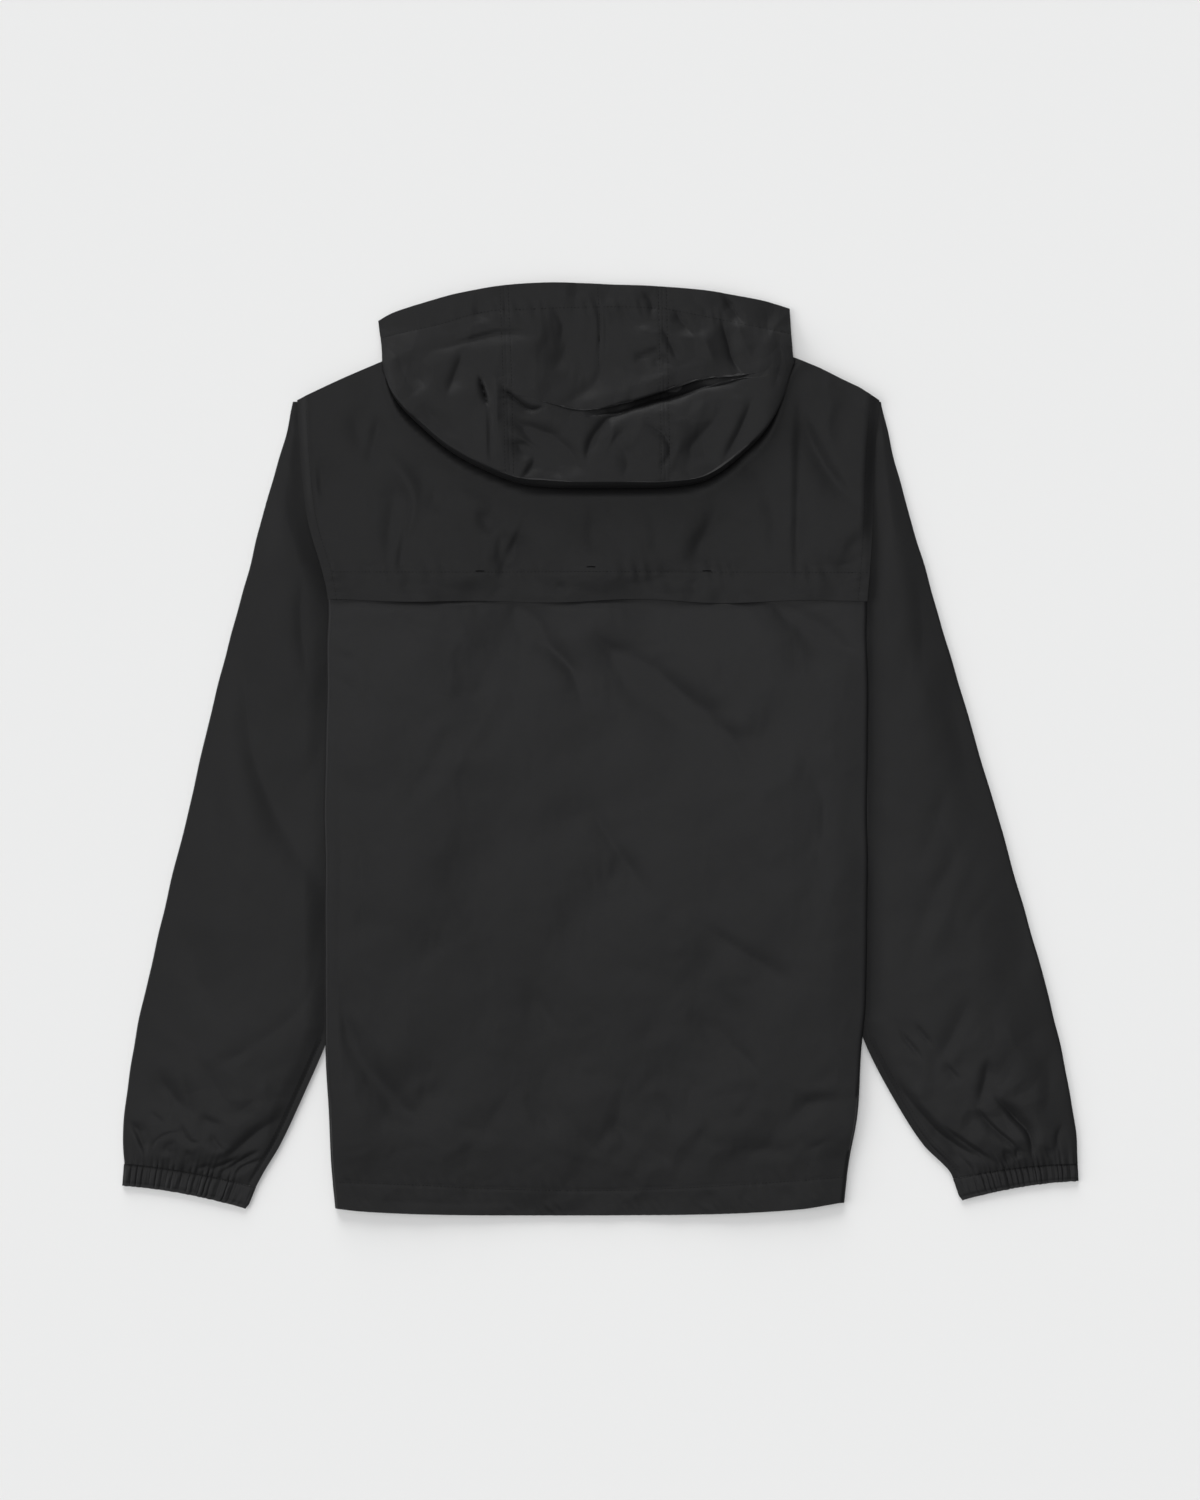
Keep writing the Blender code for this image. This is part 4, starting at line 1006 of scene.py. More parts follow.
SLEEVE_CREASES = {
    "left": (
        Crease(((-310, 125), (-303, 50), (-298, 0), (-280, -52), (-253, -98), (-222, -133)), 14, -4.8, 0.3),
        Crease(((-357, -142), (-342, -192), (-340, -233)), 12, -1.5, 0.3),
        Crease(((-277, 275), (-265, 225), (-258, 175)), 7, -1.4, 0.2),
        Crease(((-282, 208), (-292, 158), (-285, 108)), 8, -1.4, 0.2),
        Crease(((-323, -8), (-327, -75), (-318, -125)), 11, -1.3, 0.2),
        Crease(((-250, 158), (-253, 108), (-245, 42)), 6, -1.4, 0.2),
        Crease(((-367, -263), (-357, -282), (-347, -293), (-334, -302)), 6, -2.6, 0.4),
        Crease(((-334, -302), (-323, -308), (-310, -309)), 4, -1.2, 0.3),
        Crease(((-395, -308), (-388, -318), (-383, -330), (-378, -344)), 1.8, -5.5, 0.5),
        Crease(((-374, -343), (-372, -330), (-363, -322), (-348, -318)), 1.3, -0.9, 0.05),
        Crease(((-368, -342), (-363, -332), (-353, -325)), 3.8, -1.5, 0.4),
        Crease(((-350, -309), (-345, -320), (-340, -327), (-331, -328)), 1.5, -1.2, 0.4),
        Crease(((-375, -300), (-367, -307), (-362, -312)), 1.4, -1.1, 0.3),
        Crease(((-324, -319), (-319, -328), (-312, -337)), 1.5, -1.1, 0.4),
        Crease(((-326, -346), (-308, -335), (-288, -317), (-263, -301)), 4.5, -2.4, 0.4),
        Crease(((-337, -352), (-330, -349), (-322, -348)), 1.2, -1.8, 0.5),
        Crease(((-332, -354), (-315, -347), (-300, -340)), 1.3, -2, 0.5),
        Crease(((-322, -357), (-310, -350), (-294, -339), (-282, -333)), 1.3, -2, 0.5),
        Crease(((-309, -360), (-298, -348), (-277, -339)), 1.3, -2, 0.5),
        Crease(((-362, -333), (-358, -342), (-359, -350)), 1.2, -1.1, 0.2),
        Crease(((-347, -335), (-343, -343), (-344, -352)), 1.2, -1.1, 0.2),
    ),
    "right": (
        Crease(((313, -42), (292, -79), (272, -117), (252, -171), (242, -208)), 11, -1.5, 0.3),
        Crease(((325, -63), (302, -105), (282, -150), (262, -200)), 10, 0.5, 0),
        Crease(((306, -196), (290, -232), (266, -274)), 9, -1.7, 0.3),
        Crease(((318, -208), (302, -242), (280, -280)), 8, 0.5, 0),
        Crease(((248, -233), (271, -260)), 1.7, -0.95, 0.05),
        Crease(((261, -227), (278, -248)), 1.6, -0.8, 0.05),
        Crease(((275, 75), (290, 25), (300, -33)), 11, -1.4, 0.2),
        Crease(((254, 158), (262, 108), (260, 50)), 9, -1.5, 0.2),
        Crease(((242, 258), (248, 217), (243, 171)), 6, -1.3, 0.2),
        Crease(((338, -108), (347, -150), (342, -200)), 11, -1.4, 0.2),
        Crease(((283, -25), (271, -67), (254, -100)), 10, -1.4, 0.2),
        Crease(((322, -252), (318, -273), (312, -298)), 4, -2, 0.4),
        Crease(((312, -292), (318, -302), (331, -317), (346, -331), (352, -343)), 1.4, -2.2, 0.4),
        Crease(((327, -288), (345, -309), (356, -323), (360, -347)), 1.9, -4.6, 0.5),
        Crease(((245, -268), (256, -285), (271, -303), (285, -318), (305, -333),
                (333, -348)), 3.2, -4.2, 0.4),
        Crease(((285, -312), (307, -329), (332, -347)), 1.3, -2, 0.4),
        Crease(((292, -328), (305, -342), (318, -353)), 4, -1.9, 0.3),
        Crease(((336, -333), (337, -342), (340, -351)), 1.2, -1.6, 0.3),
        Crease(((347, -332), (346, -345)), 1.2, -1.5, 0.3),
        Crease(((385, -310), (380, -322), (379, -339)), 1.8, -1.9, 0.3),
        Crease(((370, -333), (375, -344)), 1.2, -1.2, 0.2),
        Crease(((286, -258), (297, -270), (305, -275)), 2, -1.3, 0.3),
        Crease(((367, -255), (370, -280), (365, -307)), 7, -1.5, 0.2),
    ),
}


def sleeve_line(side, row_y):
    """Outer and inner end of a sleeve's row, which tilts towards the cuff."""
    tilt = SLEEVE_END_DROP[side] * smooth(row_y / CUFF_SEAM_Y)
    inner_y = row_y - tilt
    return (np.array((edge(SLEEVE_OUTER, side, row_y), row_y)),
            np.array((edge(SLEEVE_INNER, side, inner_y), inner_y)))


def gathers(part, seed):
    """The gathers of a cuff from its outer end, at 0, to the plain end at 1."""
    drift = 0.3 * swell(part, part * 0.0, 0.17, seed)
    wave = 0.5 - 0.5 * np.cos(2.0 * pi * (CUFF_GATHERS * part + drift))
    tall = 0.7 + 0.3 * swell(part, part * 0.0, 0.11, seed + 1)
    return (wave ** 0.42) * tall * smooth((0.9 - part) / 0.08) * smooth(part / 0.02)


for side, (_, inward) in SIDES.items():
    across, over = [], []
    rows = steps((290.5, 4.0), (120.0, 3.6), (-180.0, 2.2), (-270.0, 1.2), (CUFF_SEAM_Y, 0))
    for row_y in rows:
        outer, inner = sleeve_line(side, row_y)
        width = np.hypot(*(inner - outer))
        along = (inner - outer) / width
        covered = (edge(BODY_EDGE, side, inner[1]) - outer[0]) / along[0]
        covered = min(covered, width - max(1.2, 0.03 * width))
        radius = SMALL_FOLD + 0.6 * smooth((width - 8.0) / 40.0)
        centre = HALF + radius
        fold_s, fold_z = arc(centre, radius, -0.5, -1.5, 8)
        part = np.linspace(0.0, 1.0, 110)
        top_s = centre + (covered - centre) * part
        hidden = HALF + PLY
        high = HALF + 2.0 * radius
        ends = smooth(width / 60.0) * (1.0 - 0.35 * smooth((-318.0 - row_y) / 27.0))
        spot = outer[:, None] + along[:, None] * top_s
        relief = pressed(leaned(SLEEVE_CREASES[side], SLEEVE_LEAN[side]), spot[0], spot[1], 1.5)
        relief += 0.3 * crumple(spot[0], spot[1], 70.0, 41, (1.0, 2.2)) + 2.4
        by_cuff = smooth((-215.0 - row_y) / 70.0)
        relief += (0.45 + 0.3 * by_cuff) * facets(spot[0], spot[1], 56.0, 42)
        relief += (0.3 + 0.35 * by_cuff) * facets(spot[0], spot[1], 24.0, 44)
        relief += 0.45 * by_cuff * facets(spot[0], spot[1], 13.0, 46)
        above = row_y - CUFF_SEAM_Y
        near_body = np.clip((covered - top_s) / min(18.0, 0.5 * width), 0.0, 1.0)
        bulge = np.sin(pi * np.minimum(part, 0.5)) ** 0.7 * np.sin(pi / 2.0 * near_body)
        rise = bulge * ends * (SLEEVE_LOFT * np.sin(pi * part) + relief)
        rise *= 1.0 - 0.5 * np.exp(-above / 6.0)
        pleat = gathers((top_s / width - 0.02) / 0.96, 51 if side == "left" else 57)
        rise = rise + 1.5 * (pleat - 0.35) * np.exp(-above / 8.0) * np.sin(pi * part) ** 0.3
        under_seam = smooth((-225.0 - row_y) / 20.0) * (1.6 if side == "left" else 0.5)
        rise -= under_seam * np.exp(-((width - top_s - 5.2) / 1.1) ** 2)
        rise = np.maximum(rise, -0.25)
        top_z = high + (hidden - high) * smooth(part) + rise
        s = np.concatenate([
            np.linspace(width, centre, 12), fold_s, top_s,
            np.linspace(covered, width, 4)[1:],
        ])
        z = np.concatenate([
            np.full(12, HALF), HALF + fold_z, top_z, np.full(3, hidden),
        ])
        bow = CUFF_BOW * 4.0 * (s / width) * (1.0 - s / width)
        bow = bow * smooth((CUFF_SEAM_Y + 55.0 - row_y) / 55.0)
        across.append(np.stack([
            outer[0] + along[0] * s, outer[1] + along[1] * s + bow, z,
        ], 1))
    middle = np.array(across)
    column = np.arange(middle.shape[1])
    fold = np.exp(-((column - 16.0) / 5.0) ** 2)
    middle[..., 0] += 0.5 * swell(middle[..., 1], middle[..., 1] * 0.0, 38.0, 45) * fold
    sleeve = ply(f"sleeve_{side}_cloth", middle, sleeve_shaded_finish)
    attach(sleeve, "root")
    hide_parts(f"sleeve_{side}")
    under_arm = [
        (edge(SLEEVE_INNER, side, row) - inward * 4.5, row + 2.0) for row in range(-244, -356, -12)
    ]
    lines = [under_arm, beside(under_arm, -3.2 * inward)]
    sleeve_sewing = sew(f"sleeve_{side}_stitches", sleeve, lines)


# ---------------------------------------------------------------------------------------
# The cuffs: narrow bands of the same cloth with elastic inside, which draws them into
# about twenty gathers. The inner end by the seam is plain.
# ---------------------------------------------------------------------------------------
Cuff = namedtuple("Cuff", "outer_x outer_y inner_x inner_y")
CUFF_HEM = {
    "left": Cuff(-398.6, -363.5, -294.5, -383.0),
    "right": Cuff(399.2, -359.5, 301.0, -376.0),
}
CUFF_WALL = 1.2
CUFF_TOP = 2.9
CUFF_RISE = 1.1

for side, (_, inward) in SIDES.items():
    outer, inner = sleeve_line(side, CUFF_SEAM_Y)
    hem = CUFF_HEM[side]
    across = []
    for t in np.linspace(0.0, 1.0, 19):
        start = outer + (np.array((hem.outer_x, hem.outer_y)) - outer) * t
        end = inner + (np.array((hem.inner_x, hem.inner_y)) - inner) * t
        end = end - (end - start) * 0.014 * smooth((t - 0.75) / 0.25)
        width = np.hypot(*(end - start))
        part = np.linspace(0.0, 1.0, 300)
        corner = 1.3 / width
        swelled = 0.35 + 0.65 * np.sin(pi * (0.08 + 0.84 * t)) ** 0.8
        pinch = 0.35 * np.exp(-((t - 0.86) / 0.05) ** 2) + 0.5 * np.exp(-(t / 0.06) ** 2)
        skew = 0.004 * np.sin(pi * t)
        pleat = gathers(part + skew, 51 if side == "left" else 57)
        fine = 0.12 * swell(part, part * 0.0 + t * 0.02, 0.03, 61)
        top_z = CUFF_TOP - CUFF_WALL / 2.0 + CUFF_RISE * (pleat + fine) * swelled - pinch
        top_s = corner + (1.0 - 2.0 * corner) * part
        side_z = np.array((1.75, 1.2))
        under = np.linspace(1.0 - corner, corner, 40)
        under_rise = 0.25 * (0.5 - 0.5 * np.cos(2.0 * pi * 15.0 * under))
        s = np.concatenate([top_s, [1.0 - 0.3 / width] * 2, under, [0.3 / width] * 2])
        z = np.concatenate([top_z, side_z, CUFF_WALL / 2.0 + under_rise, side_z[::-1]])
        bow = CUFF_BOW * 4.0 * s * (1.0 - s)
        ragged = np.zeros_like(s)
        ragged[:300] = 0.3 * (pleat - 0.5) * smooth((t - 0.6) / 0.4)
        across.append(np.stack([
            start[0] + (end[0] - start[0]) * s,
            start[1] + (end[1] - start[1]) * s + bow - GAP * (1.0 - t) - ragged,
            z,
        ], 1))
    cuff = ply(f"cuff_{side}_cloth", np.array(across), cloth_finish, 0.5, ring=True)
    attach(cuff, "root")
    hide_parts(f"cuff_{side}")
    seam = [outer + (inner - outer) * t + np.array((0.0, CUFF_BOW * 4.0 * t * (1.0 - t) - 1.3))
            for t in np.linspace(0.02, 0.98, 9)]
    cuff_sewing = sew(f"cuff_{side}_stitches", cuff, [seam], pitch=2.4, length=1.7)


# ---------------------------------------------------------------------------------------
# The hood: three panels sewn side by side, laid back over the yoke. Its mouth has a
# casing, and the slack of its right half is folded into one deep pocket.
# ---------------------------------------------------------------------------------------
# The hood from its left side to its right: the mouth's edge, the outline where it rolls
# under, how high it stands there, and the upper and lower lips of its deep fold.
Hood = namedtuple("Hood", "mouth_x mouth_y roll_x roll_y crown upper lower fold")
HOOD = (
    Hood(-185.0, 358.0, -181.0, 318.0, 8.0, 342.0, 337.0, 0.0),
    Hood(-172.0, 364.5, -170.0, 291.5, 18.0, 331.0, 324.0, 0.0),
    Hood(-150.0, 371.5, -147.0, 267.0, 22.5, 321.0, 312.0, 0.0),
    Hood(-120.0, 380.0, -118.0, 244.0, 25.5, 311.0, 300.0, 0.0),
    Hood(-80.0, 387.0, -74.5, 223.5, 27.0, 299.0, 287.0, 0.0),
    Hood(-48.0, 389.2, -44.0, 218.2, 28.0, 291.0, 280.0, 0.0),
    Hood(-15.0, 389.0, -12.0, 217.3, 28.0, 284.0, 275.0, 0.0),
    Hood(20.0, 387.5, 22.0, 217.5, 28.0, 289.0, 279.5, 9.0),
    Hood(52.0, 386.2, 54.5, 218.2, 27.5, 298.5, 287.5, 14.0),
    Hood(85.0, 383.2, 88.0, 224.0, 26.0, 309.0, 299.0, 5.0),
    Hood(115.0, 378.5, 118.0, 245.0, 24.5, 312.0, 307.0, 0.8),
    Hood(140.0, 373.8, 143.0, 274.0, 21.0, 320.0, 311.0, 0.0),
    Hood(158.3, 368.3, 160.5, 322.0, 10.0, 347.0, 341.0, 0.0),
)
HOOD_LAST = len(HOOD) - 1
HOOD_SEAT = 3.85
HOOD_RUN_UNDER = 5.0
FOLD_FLOOR = 8.4
FOLD_LIP = 3.0
MOUTH_HEIGHT = 6.0
CASING = 18.0
HOOD_PANELS = (("left", 0.0, 4.0), ("centre", 4.0, 8.0), ("right", 8.0, 12.0))
HOOD_CREASES = (
    Crease(((-143, 332), (-104, 343), (-80, 348), (-45, 345)), 2.6, -2, 0.9),
    Crease(((-112, 338), (-120, 318), (-130, 292)), 4, -2.2, 0.4),
    Crease(((-158, 332), (-152, 315), (-140, 302)), 6, -1.6, 0.3),
    Crease(((-100, 313), (-97, 300), (-92, 283)), 1.8, -3.8, 0.05),
    Crease(((-93, 288), (-92, 267), (-92, 237)), 1.4, -1.3, 0.4),
    Crease(((-88, 315), (-86, 292), (-87, 258)), 3.4, 1.3, 0),
    Crease(((-83, 305), (-72, 294), (-57, 284), (-43, 287)), 2, -3, 0.4),
    Crease(((-37, 285), (-17, 298), (-4, 309), (3, 332)), 3, -1.1, -0.6),
    Crease(((-83, 282), (-57, 270), (-32, 253), (-3, 227)), 9, -5, 0.5),
    Crease(((-82, 272), (-63, 258), (-43, 240), (-33, 227)), 4, 1.6, 0),
    Crease(((-82, 258), (-62, 253), (-43, 242), (-28, 223)), 2.8, -2.8, 0.4),
    Crease(((-49, 245), (-58, 235), (-67, 223)), 2.2, -2, 0.3),
    Crease(((0, 292), (10, 267), (5, 240)), 7, 1.7, 0),
    Crease(((30, 288), (10, 280), (-2, 267), (-11, 250), (-13, 232)), 3.4, -3.4, -0.5),
    Crease(((27, 272), (10, 258), (3, 240)), 4, -1.5, 0.3),
    Crease(((18, 298), (50, 309), (83, 319), (114, 320)), 7.5, 1, 0),
    Crease(((83, 302), (102, 308), (120, 312)), 2.2, -1.4, 0.7),
    Crease(((103, 380), (112, 368), (122, 353)), 2.2, -2.2, 0.7),
    Crease(((62, 370), (69, 358), (80, 343)), 2, -2, 0.7),
    Crease(((50, 352), (57, 338), (65, 323)), 2.2, -2.1, 0.5),
    Crease(((26, 326), (38, 330), (53, 335)), 2.2, -1.7, 0.5),
    Crease(((42, 323), (52, 327), (62, 320)), 2.2, -1.4, 0.5),
    Crease(((97, 363), (105, 340), (109, 325), (122, 305)), 3.4, -3.4, 0.9),
    Crease(((112, 362), (118, 340), (127, 322)), 6, 1.8, 0),
    Crease(((83, 350), (90, 333), (97, 320)), 6, 1.3, 0),
    Crease(((-2, 377), (0, 350), (-2, 319)), 1.3, -0.9, 0),
    Crease(((2, 377), (5, 350), (3, 323)), 1.3, -0.4, 0),
    Crease(((-28, 350), (-33, 333), (-43, 315)), 8, -1.7, 0.3),
    Crease(((142, 346), (148, 325), (140, 296)), 6, -1.6, 0.3),
    Crease(((-172, 338), (-167, 315), (-152, 288)), 6, -1.4, 0.3),
    Crease(((-150, 296), (-133, 275), (-112, 258)), 7, -1.5, 0.3),
    Crease(((127, 298), (115, 267), (97, 233)), 4, -2.6, 0.4),
    Crease(((107, 295), (90, 273), (75, 253), (65, 228)), 7, -2.6, 0.3),
    Crease(((15, 258), (23, 240), (18, 222)), 5, -1, 0.05),
    Crease(((33, 272), (50, 262), (57, 248), (48, 232)), 2.4, -1.8, 0.3),
    Crease(((-43, 370), (-33, 353), (-37, 335)), 4, -1.4, 0.3),
    Crease(((-108, 370), (-95, 363), (-90, 353)), 4, -1.2, 0.3),
    Crease(((20, 375), (27, 360), (43, 353)), 3.4, -1.3, 0.3),
    Crease(((33, 382), (42, 372), (40, 360)), 3, -1.1, 0.3),
)
CASING_STITCH = ((-181, 344), (-139, 353), (-87, 366), (0, 369), (52, 368), (117, 355), (157, 347))


def hood_at(u, column):
    """Read a column of the hood's table at a place between its rows."""
    index = min(int(u), HOOD_LAST - 1)
    t = u - index
    a, b, c, d = [getattr(HOOD[min(max(index + k, 0), HOOD_LAST)], column) for k in (-1, 0, 1, 2)]
    return b + 0.5 * t * (c - a + t * (2 * a - 5 * b + 4 * c - d + t * (3 * (b - c) + d - a)))


def hood_path(u):
    """The hood on one column: mouth, run with its deep fold, roll, and end beneath."""
    mouth = np.array((hood_at(u, "mouth_x"), hood_at(u, "mouth_y")))
    roll = np.array((hood_at(u, "roll_x"), hood_at(u, "roll_y")))
    length = np.hypot(*(roll - mouth))
    crown = hood_at(u, "crown") - HALF
    seat = HOOD_SEAT + HALF
    rise = (crown - seat) / 2.0
    reach = min(0.55 * rise, 0.3 * length)
    top_end = length - HALF - reach
    upper = (mouth[1] - hood_at(u, "upper")) / (mouth[1] - roll[1]) * length
    lower = (mouth[1] - hood_at(u, "lower")) / (mouth[1] - roll[1]) * length
    fold = max(hood_at(u, "fold"), 0.0)
    lip = min(FOLD_LIP, 0.25 * (lower - upper))
    mouth_z = MOUTH_HEIGHT * (0.5 + 0.5 * smooth(min(u, HOOD_LAST - u) / 3.0)) + HALF
    casing = min(CASING, 0.4 * upper)
    path = []
    for s, sunk, shift in (
        (0.0, 0.0, 0.0),
        (casing, 0.0, 0.0),
        (casing + (upper - casing) * 0.35, 0.0, 0.0),
        (casing + (upper - casing) * 0.7, 0.0, 0.0),
        (upper, 0.0, 0.0),
        (upper + lip, 1.0, -0.55),
        (lower - lip, 1.0, -0.3),
        (lower, 0.22, 0.0),
        (lower + (top_end - lower) * 0.3, 0.0, 0.0),
        (lower + (top_end - lower) * 0.65, 0.0, 0.0),
        (top_end, 0.0, 0.0),
    ):
        z = mouth_z + (crown - mouth_z) * smooth(s / top_end) ** 0.75
        path.append((s + shift * fold, max(z - sunk * fold, min(z, FOLD_FLOOR))))
    for step in range(1, 7):
        angle = pi * (0.5 - step / 6.0)
        path.append((top_end + reach * np.cos(angle), seat + rise + rise * np.sin(angle)))
    path.append((top_end - min(HOOD_RUN_UNDER, 0.2 * top_end), seat))
    return mouth, (roll - mouth) / length, np.array(path)


def hood_relief(x, y):
    """Creases of the hood, the pull of its seams and the line of its casing."""
    relief = pressed(leaned(HOOD_CREASES, 0.6, 1.0), x, y, 1.35)
    relief = 1.2 * relief + 2.6 * facets(x, y, 44.0, 70) + 0.65 * facets(x, y, 17.0, 74)
    relief += 0.2 * crumple(x, y, 46.0, 71)
    away = above_line(CASING_STITCH, x, y)
    relief -= 0.2 * np.exp(-(away / 1.1) ** 2)
    relief += 0.25 * puckers(x, y, CASING_STITCH, 9.0, 7.0, 75)
    for seam_x in ((-80.0, 387.0, -74.5, 223.5), (52.0, 386.2, 54.5, 218.2)):
        x0, y0, x1, y1 = seam_x
        off = x - (x0 + (x1 - x0) * (y0 - y) / (y0 - y1))
        unevenness = 0.6 + 0.4 * swell(y, x * 0.1, 30.0, 79)
        relief -= 0.15 * np.exp(-(off / 0.9) ** 2)
        relief -= 0.24 * unevenness * np.exp(-((np.abs(off) - 3.4) / 0.8) ** 2)
        wave = np.sin(2.0 * pi * (y + 2.2 * swell(y, x * 0.1, 40.0, 77) + 0.3 * np.abs(off)) / 7.5)
        relief += 0.12 * wave * np.exp(-((np.abs(off) - 3.0) / 5.5) ** 2)
    return relief


# The hood's copy is a little darker in colour than the rest of the same cloth: painted shade.
hood_shaded_finish = nylon("hood_nylon_painted_shade", (0.0095, 0.0095, 0.0098), 0.48, 0.125)
hood_pieces = {}
for name, first, last in HOOD_PANELS:
    across = []
    for u in np.linspace(first, last, 116):
        mouth, along, path = hood_path(u)
        fine = spread(path, 11)
        across.append(np.concatenate([mouth + along * fine[:, :1], fine[:, 1:]], 1))
    middle = np.array(across)
    normal = np.cross(np.gradient(middle, axis=1), np.gradient(middle, axis=0))
    normal /= np.maximum(np.linalg.norm(normal, axis=2, keepdims=True), 1e-9)
    if normal[:, 32, 2].mean() < 0.0:
        normal = -normal
    upward = smooth(normal[..., 2] / 0.6)
    relief = hood_relief(middle[..., 0], middle[..., 1]) * upward
    middle = middle + normal * np.clip(relief, -4.5, 4.5)[..., None]
    panel = ply(f"hood_{name}_cloth", middle, hood_shaded_finish)
    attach(panel, "root")
    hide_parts(f"hood_{name}")
    hood_pieces[name] = panel
HOOD_SEWING = {
    "left": [CASING_STITCH[:4], ((-83.4, 386), (-80.5, 310), (-78.5, 232))],
    "centre": [CASING_STITCH[2:5], ((-76.6, 386), (-73.5, 310), (-71.5, 230)),
               ((48.6, 385), (50.0, 300), (51.0, 230)), ((-2.0, 384), (0.0, 350), (-1.5, 320))],
    "right": [CASING_STITCH[4:], ((55.4, 385), (56.8, 300), (58.0, 230))],
}
HOOD_CUT = {"left": (0.12, 0.205, 0.018), "centre": (0.14, 0.21, 0.027),
            "right": (0.12, 0.205, 0.018)}
for name, (wide, long, area) in HOOD_CUT.items():
    sewing = sew(f"hood_{name}_stitches", hood_pieces[name], HOOD_SEWING[name])


# ---------------------------------------------------------------------------------------
# The plies folded away inside the hood: the same cloth, doubled under the panels, with
# its fold at the back and its two edges at the mouth.
# ---------------------------------------------------------------------------------------
# The plies hidden in the hood follow these points of its path, each shifted along it.
Inner = namedtuple("Inner", "index shift")
INNER_POINTS = (
    Inner(2, 0.0),
    Inner(4, -4.0),
    Inner(5, -3.0),
    Inner(6, 3.0),
    Inner(7, 4.0),
    Inner(9, 0.0),
    Inner(10, 0.0),
)
INNER_DROP = 4.4
INNER_STEP = 4.0
INNER_FIRST = 1.0
INNER_LAST = HOOD_LAST - 1.1
INNER_REACH = 0.6

floor_z = HOOD_SEAT + PLY + GAP + HALF
across = []
for u in np.linspace(INNER_FIRST, INNER_LAST, 60):
    mouth, along, path = hood_path(u)
    near = [hood_path(u + shift)[2] for shift in (-INNER_REACH, 0.0, INNER_REACH)]
    top = []
    for inner in INNER_POINTS:
        lowest = min(other[inner.index][1] for other in near)
        top.append((path[inner.index][0] + inner.shift, lowest - INNER_DROP - HALF))
    end_s, end_z = top[-1]
    half_way = (end_z + floor_z) / 2.0
    top += [(end_s + 1.5, half_way), (end_s - 2.0, floor_z), ((end_s + top[0][0]) / 2.0, floor_z),
            (top[0][0] + INNER_STEP, floor_z)]
    fine = spread(top, 8)
    across.append(np.concatenate([mouth + along * fine[:, :1], fine[:, 1:]], 1))
inner_plies = ply("hood_inner_cloth", np.array(across), cloth_finish)
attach(inner_plies, "root")
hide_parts("hood_inner_plies")


# ---------------------------------------------------------------------------------------
# The front of the hood: a left and a right half, flat on the table under the mouth, each
# sewn to a front at the neck.
# ---------------------------------------------------------------------------------------
CHEEK_SHORT = 9.0
CHEEK_END = {"left": -177.0, "right": 154.0}

for side, (_, inward) in SIDES.items():
    x = np.linspace(CHEEK_END[side], ZIP_X - inward * ZIP_EDGE, 60)
    low = front_top(x) + 1.5
    high = straight([(row.mouth_x, row.mouth_y) for row in HOOD], x) - CHEEK_SHORT
    rows = [np.stack([x, low + (high - low) * t, np.full_like(x, HALF)], 1)
            for t in np.linspace(0.0, 1.0, 30)]
    cheek = ply(f"hood_cheek_{side}_cloth", np.array(rows), cloth_finish)
    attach(cheek, "root")
    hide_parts(f"hood_cheek_{side}")


# ---------------------------------------------------------------------------------------
# The zip, shut and face down between the fronts: two woven tapes, a chain of moulded
# teeth clenched on their edges, a die-cast slider at the neck and a soft webbing pull.
# ---------------------------------------------------------------------------------------
CHAIN_HALF = 3.0
CHAIN_THICK = 1.6
TAPE_THICK = 1.0
ZIP_RISE = 1.2
ZIP_BOTTOM_Y, ZIP_RISE_Y, ZIP_TOP_Y = HEM_Y + 6.0, 308.0, 350.0
TOOTH_PITCH = 2.6
SLIDER_WIDE, SLIDER_LONG, SLIDER_THICK = 8.0, 12.0, 3.0
PULL_WIDE, PULL_LONG, PULL_THICK, PULL_HOLD = 5.0, 28.0, 0.9, 9.0


def zip_floor(y):
    """Height of the chain's face, which rises at the neck to pass over the pull."""
    return ZIP_RISE * smooth((y - ZIP_RISE_Y) / 14.0)


def webbing(name, shade, ribs):
    """Twill tape: ribs across the weave, with the sheen of polyester."""
    finish = Finish(name, Specular_IOR_Level=0.3)
    threads = finish.node("UVMap", {"uv_map": "cut"})
    twill = finish.node("TexWave", {"bands_direction": "DIAGONAL"}, {0: threads, 1: ribs, 2: 0.3}, 1)
    fuzz = finish.node("TexNoise", None, {0: threads, 2: 700.0, 3: 2.0}, 0)
    colour = finish.blend(twill * 0.7 + fuzz * 0.3, (*[part * 0.7 for part in shade], 1.0),
                          (*[part * 1.3 for part in shade], 1.0))
    woven = finish.bump(twill + fuzz * 0.3, 0.00015, 0.8)
    return finish.end(Base_Color=colour, Roughness=0.62 + fuzz * 0.1, Normal=woven)


tape_finish = webbing("black_tape", (0.0085, 0.0085, 0.009), 330.0)
tape_y = steps((ZIP_BOTTOM_Y, 6.0), (300.0, 2.0), (ZIP_TOP_Y, 0))
for side, (_, inward) in SIDES.items():
    x = np.linspace(ZIP_X - inward * (CHAIN_HALF + GAP), ZIP_X - inward * (ZIP_EDGE - GAP), 10)
    grid_x, grid_y = np.meshgrid(x, tape_y)
    tape = ply(f"zip_tape_{side}_weave",
               np.stack([grid_x, grid_y, zip_floor(grid_y) + TAPE_THICK / 2.0], 2),
               tape_finish, TAPE_THICK / 2.0 - 0.03)
    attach(tape, "root")
    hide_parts(f"zip_tape_{side}")


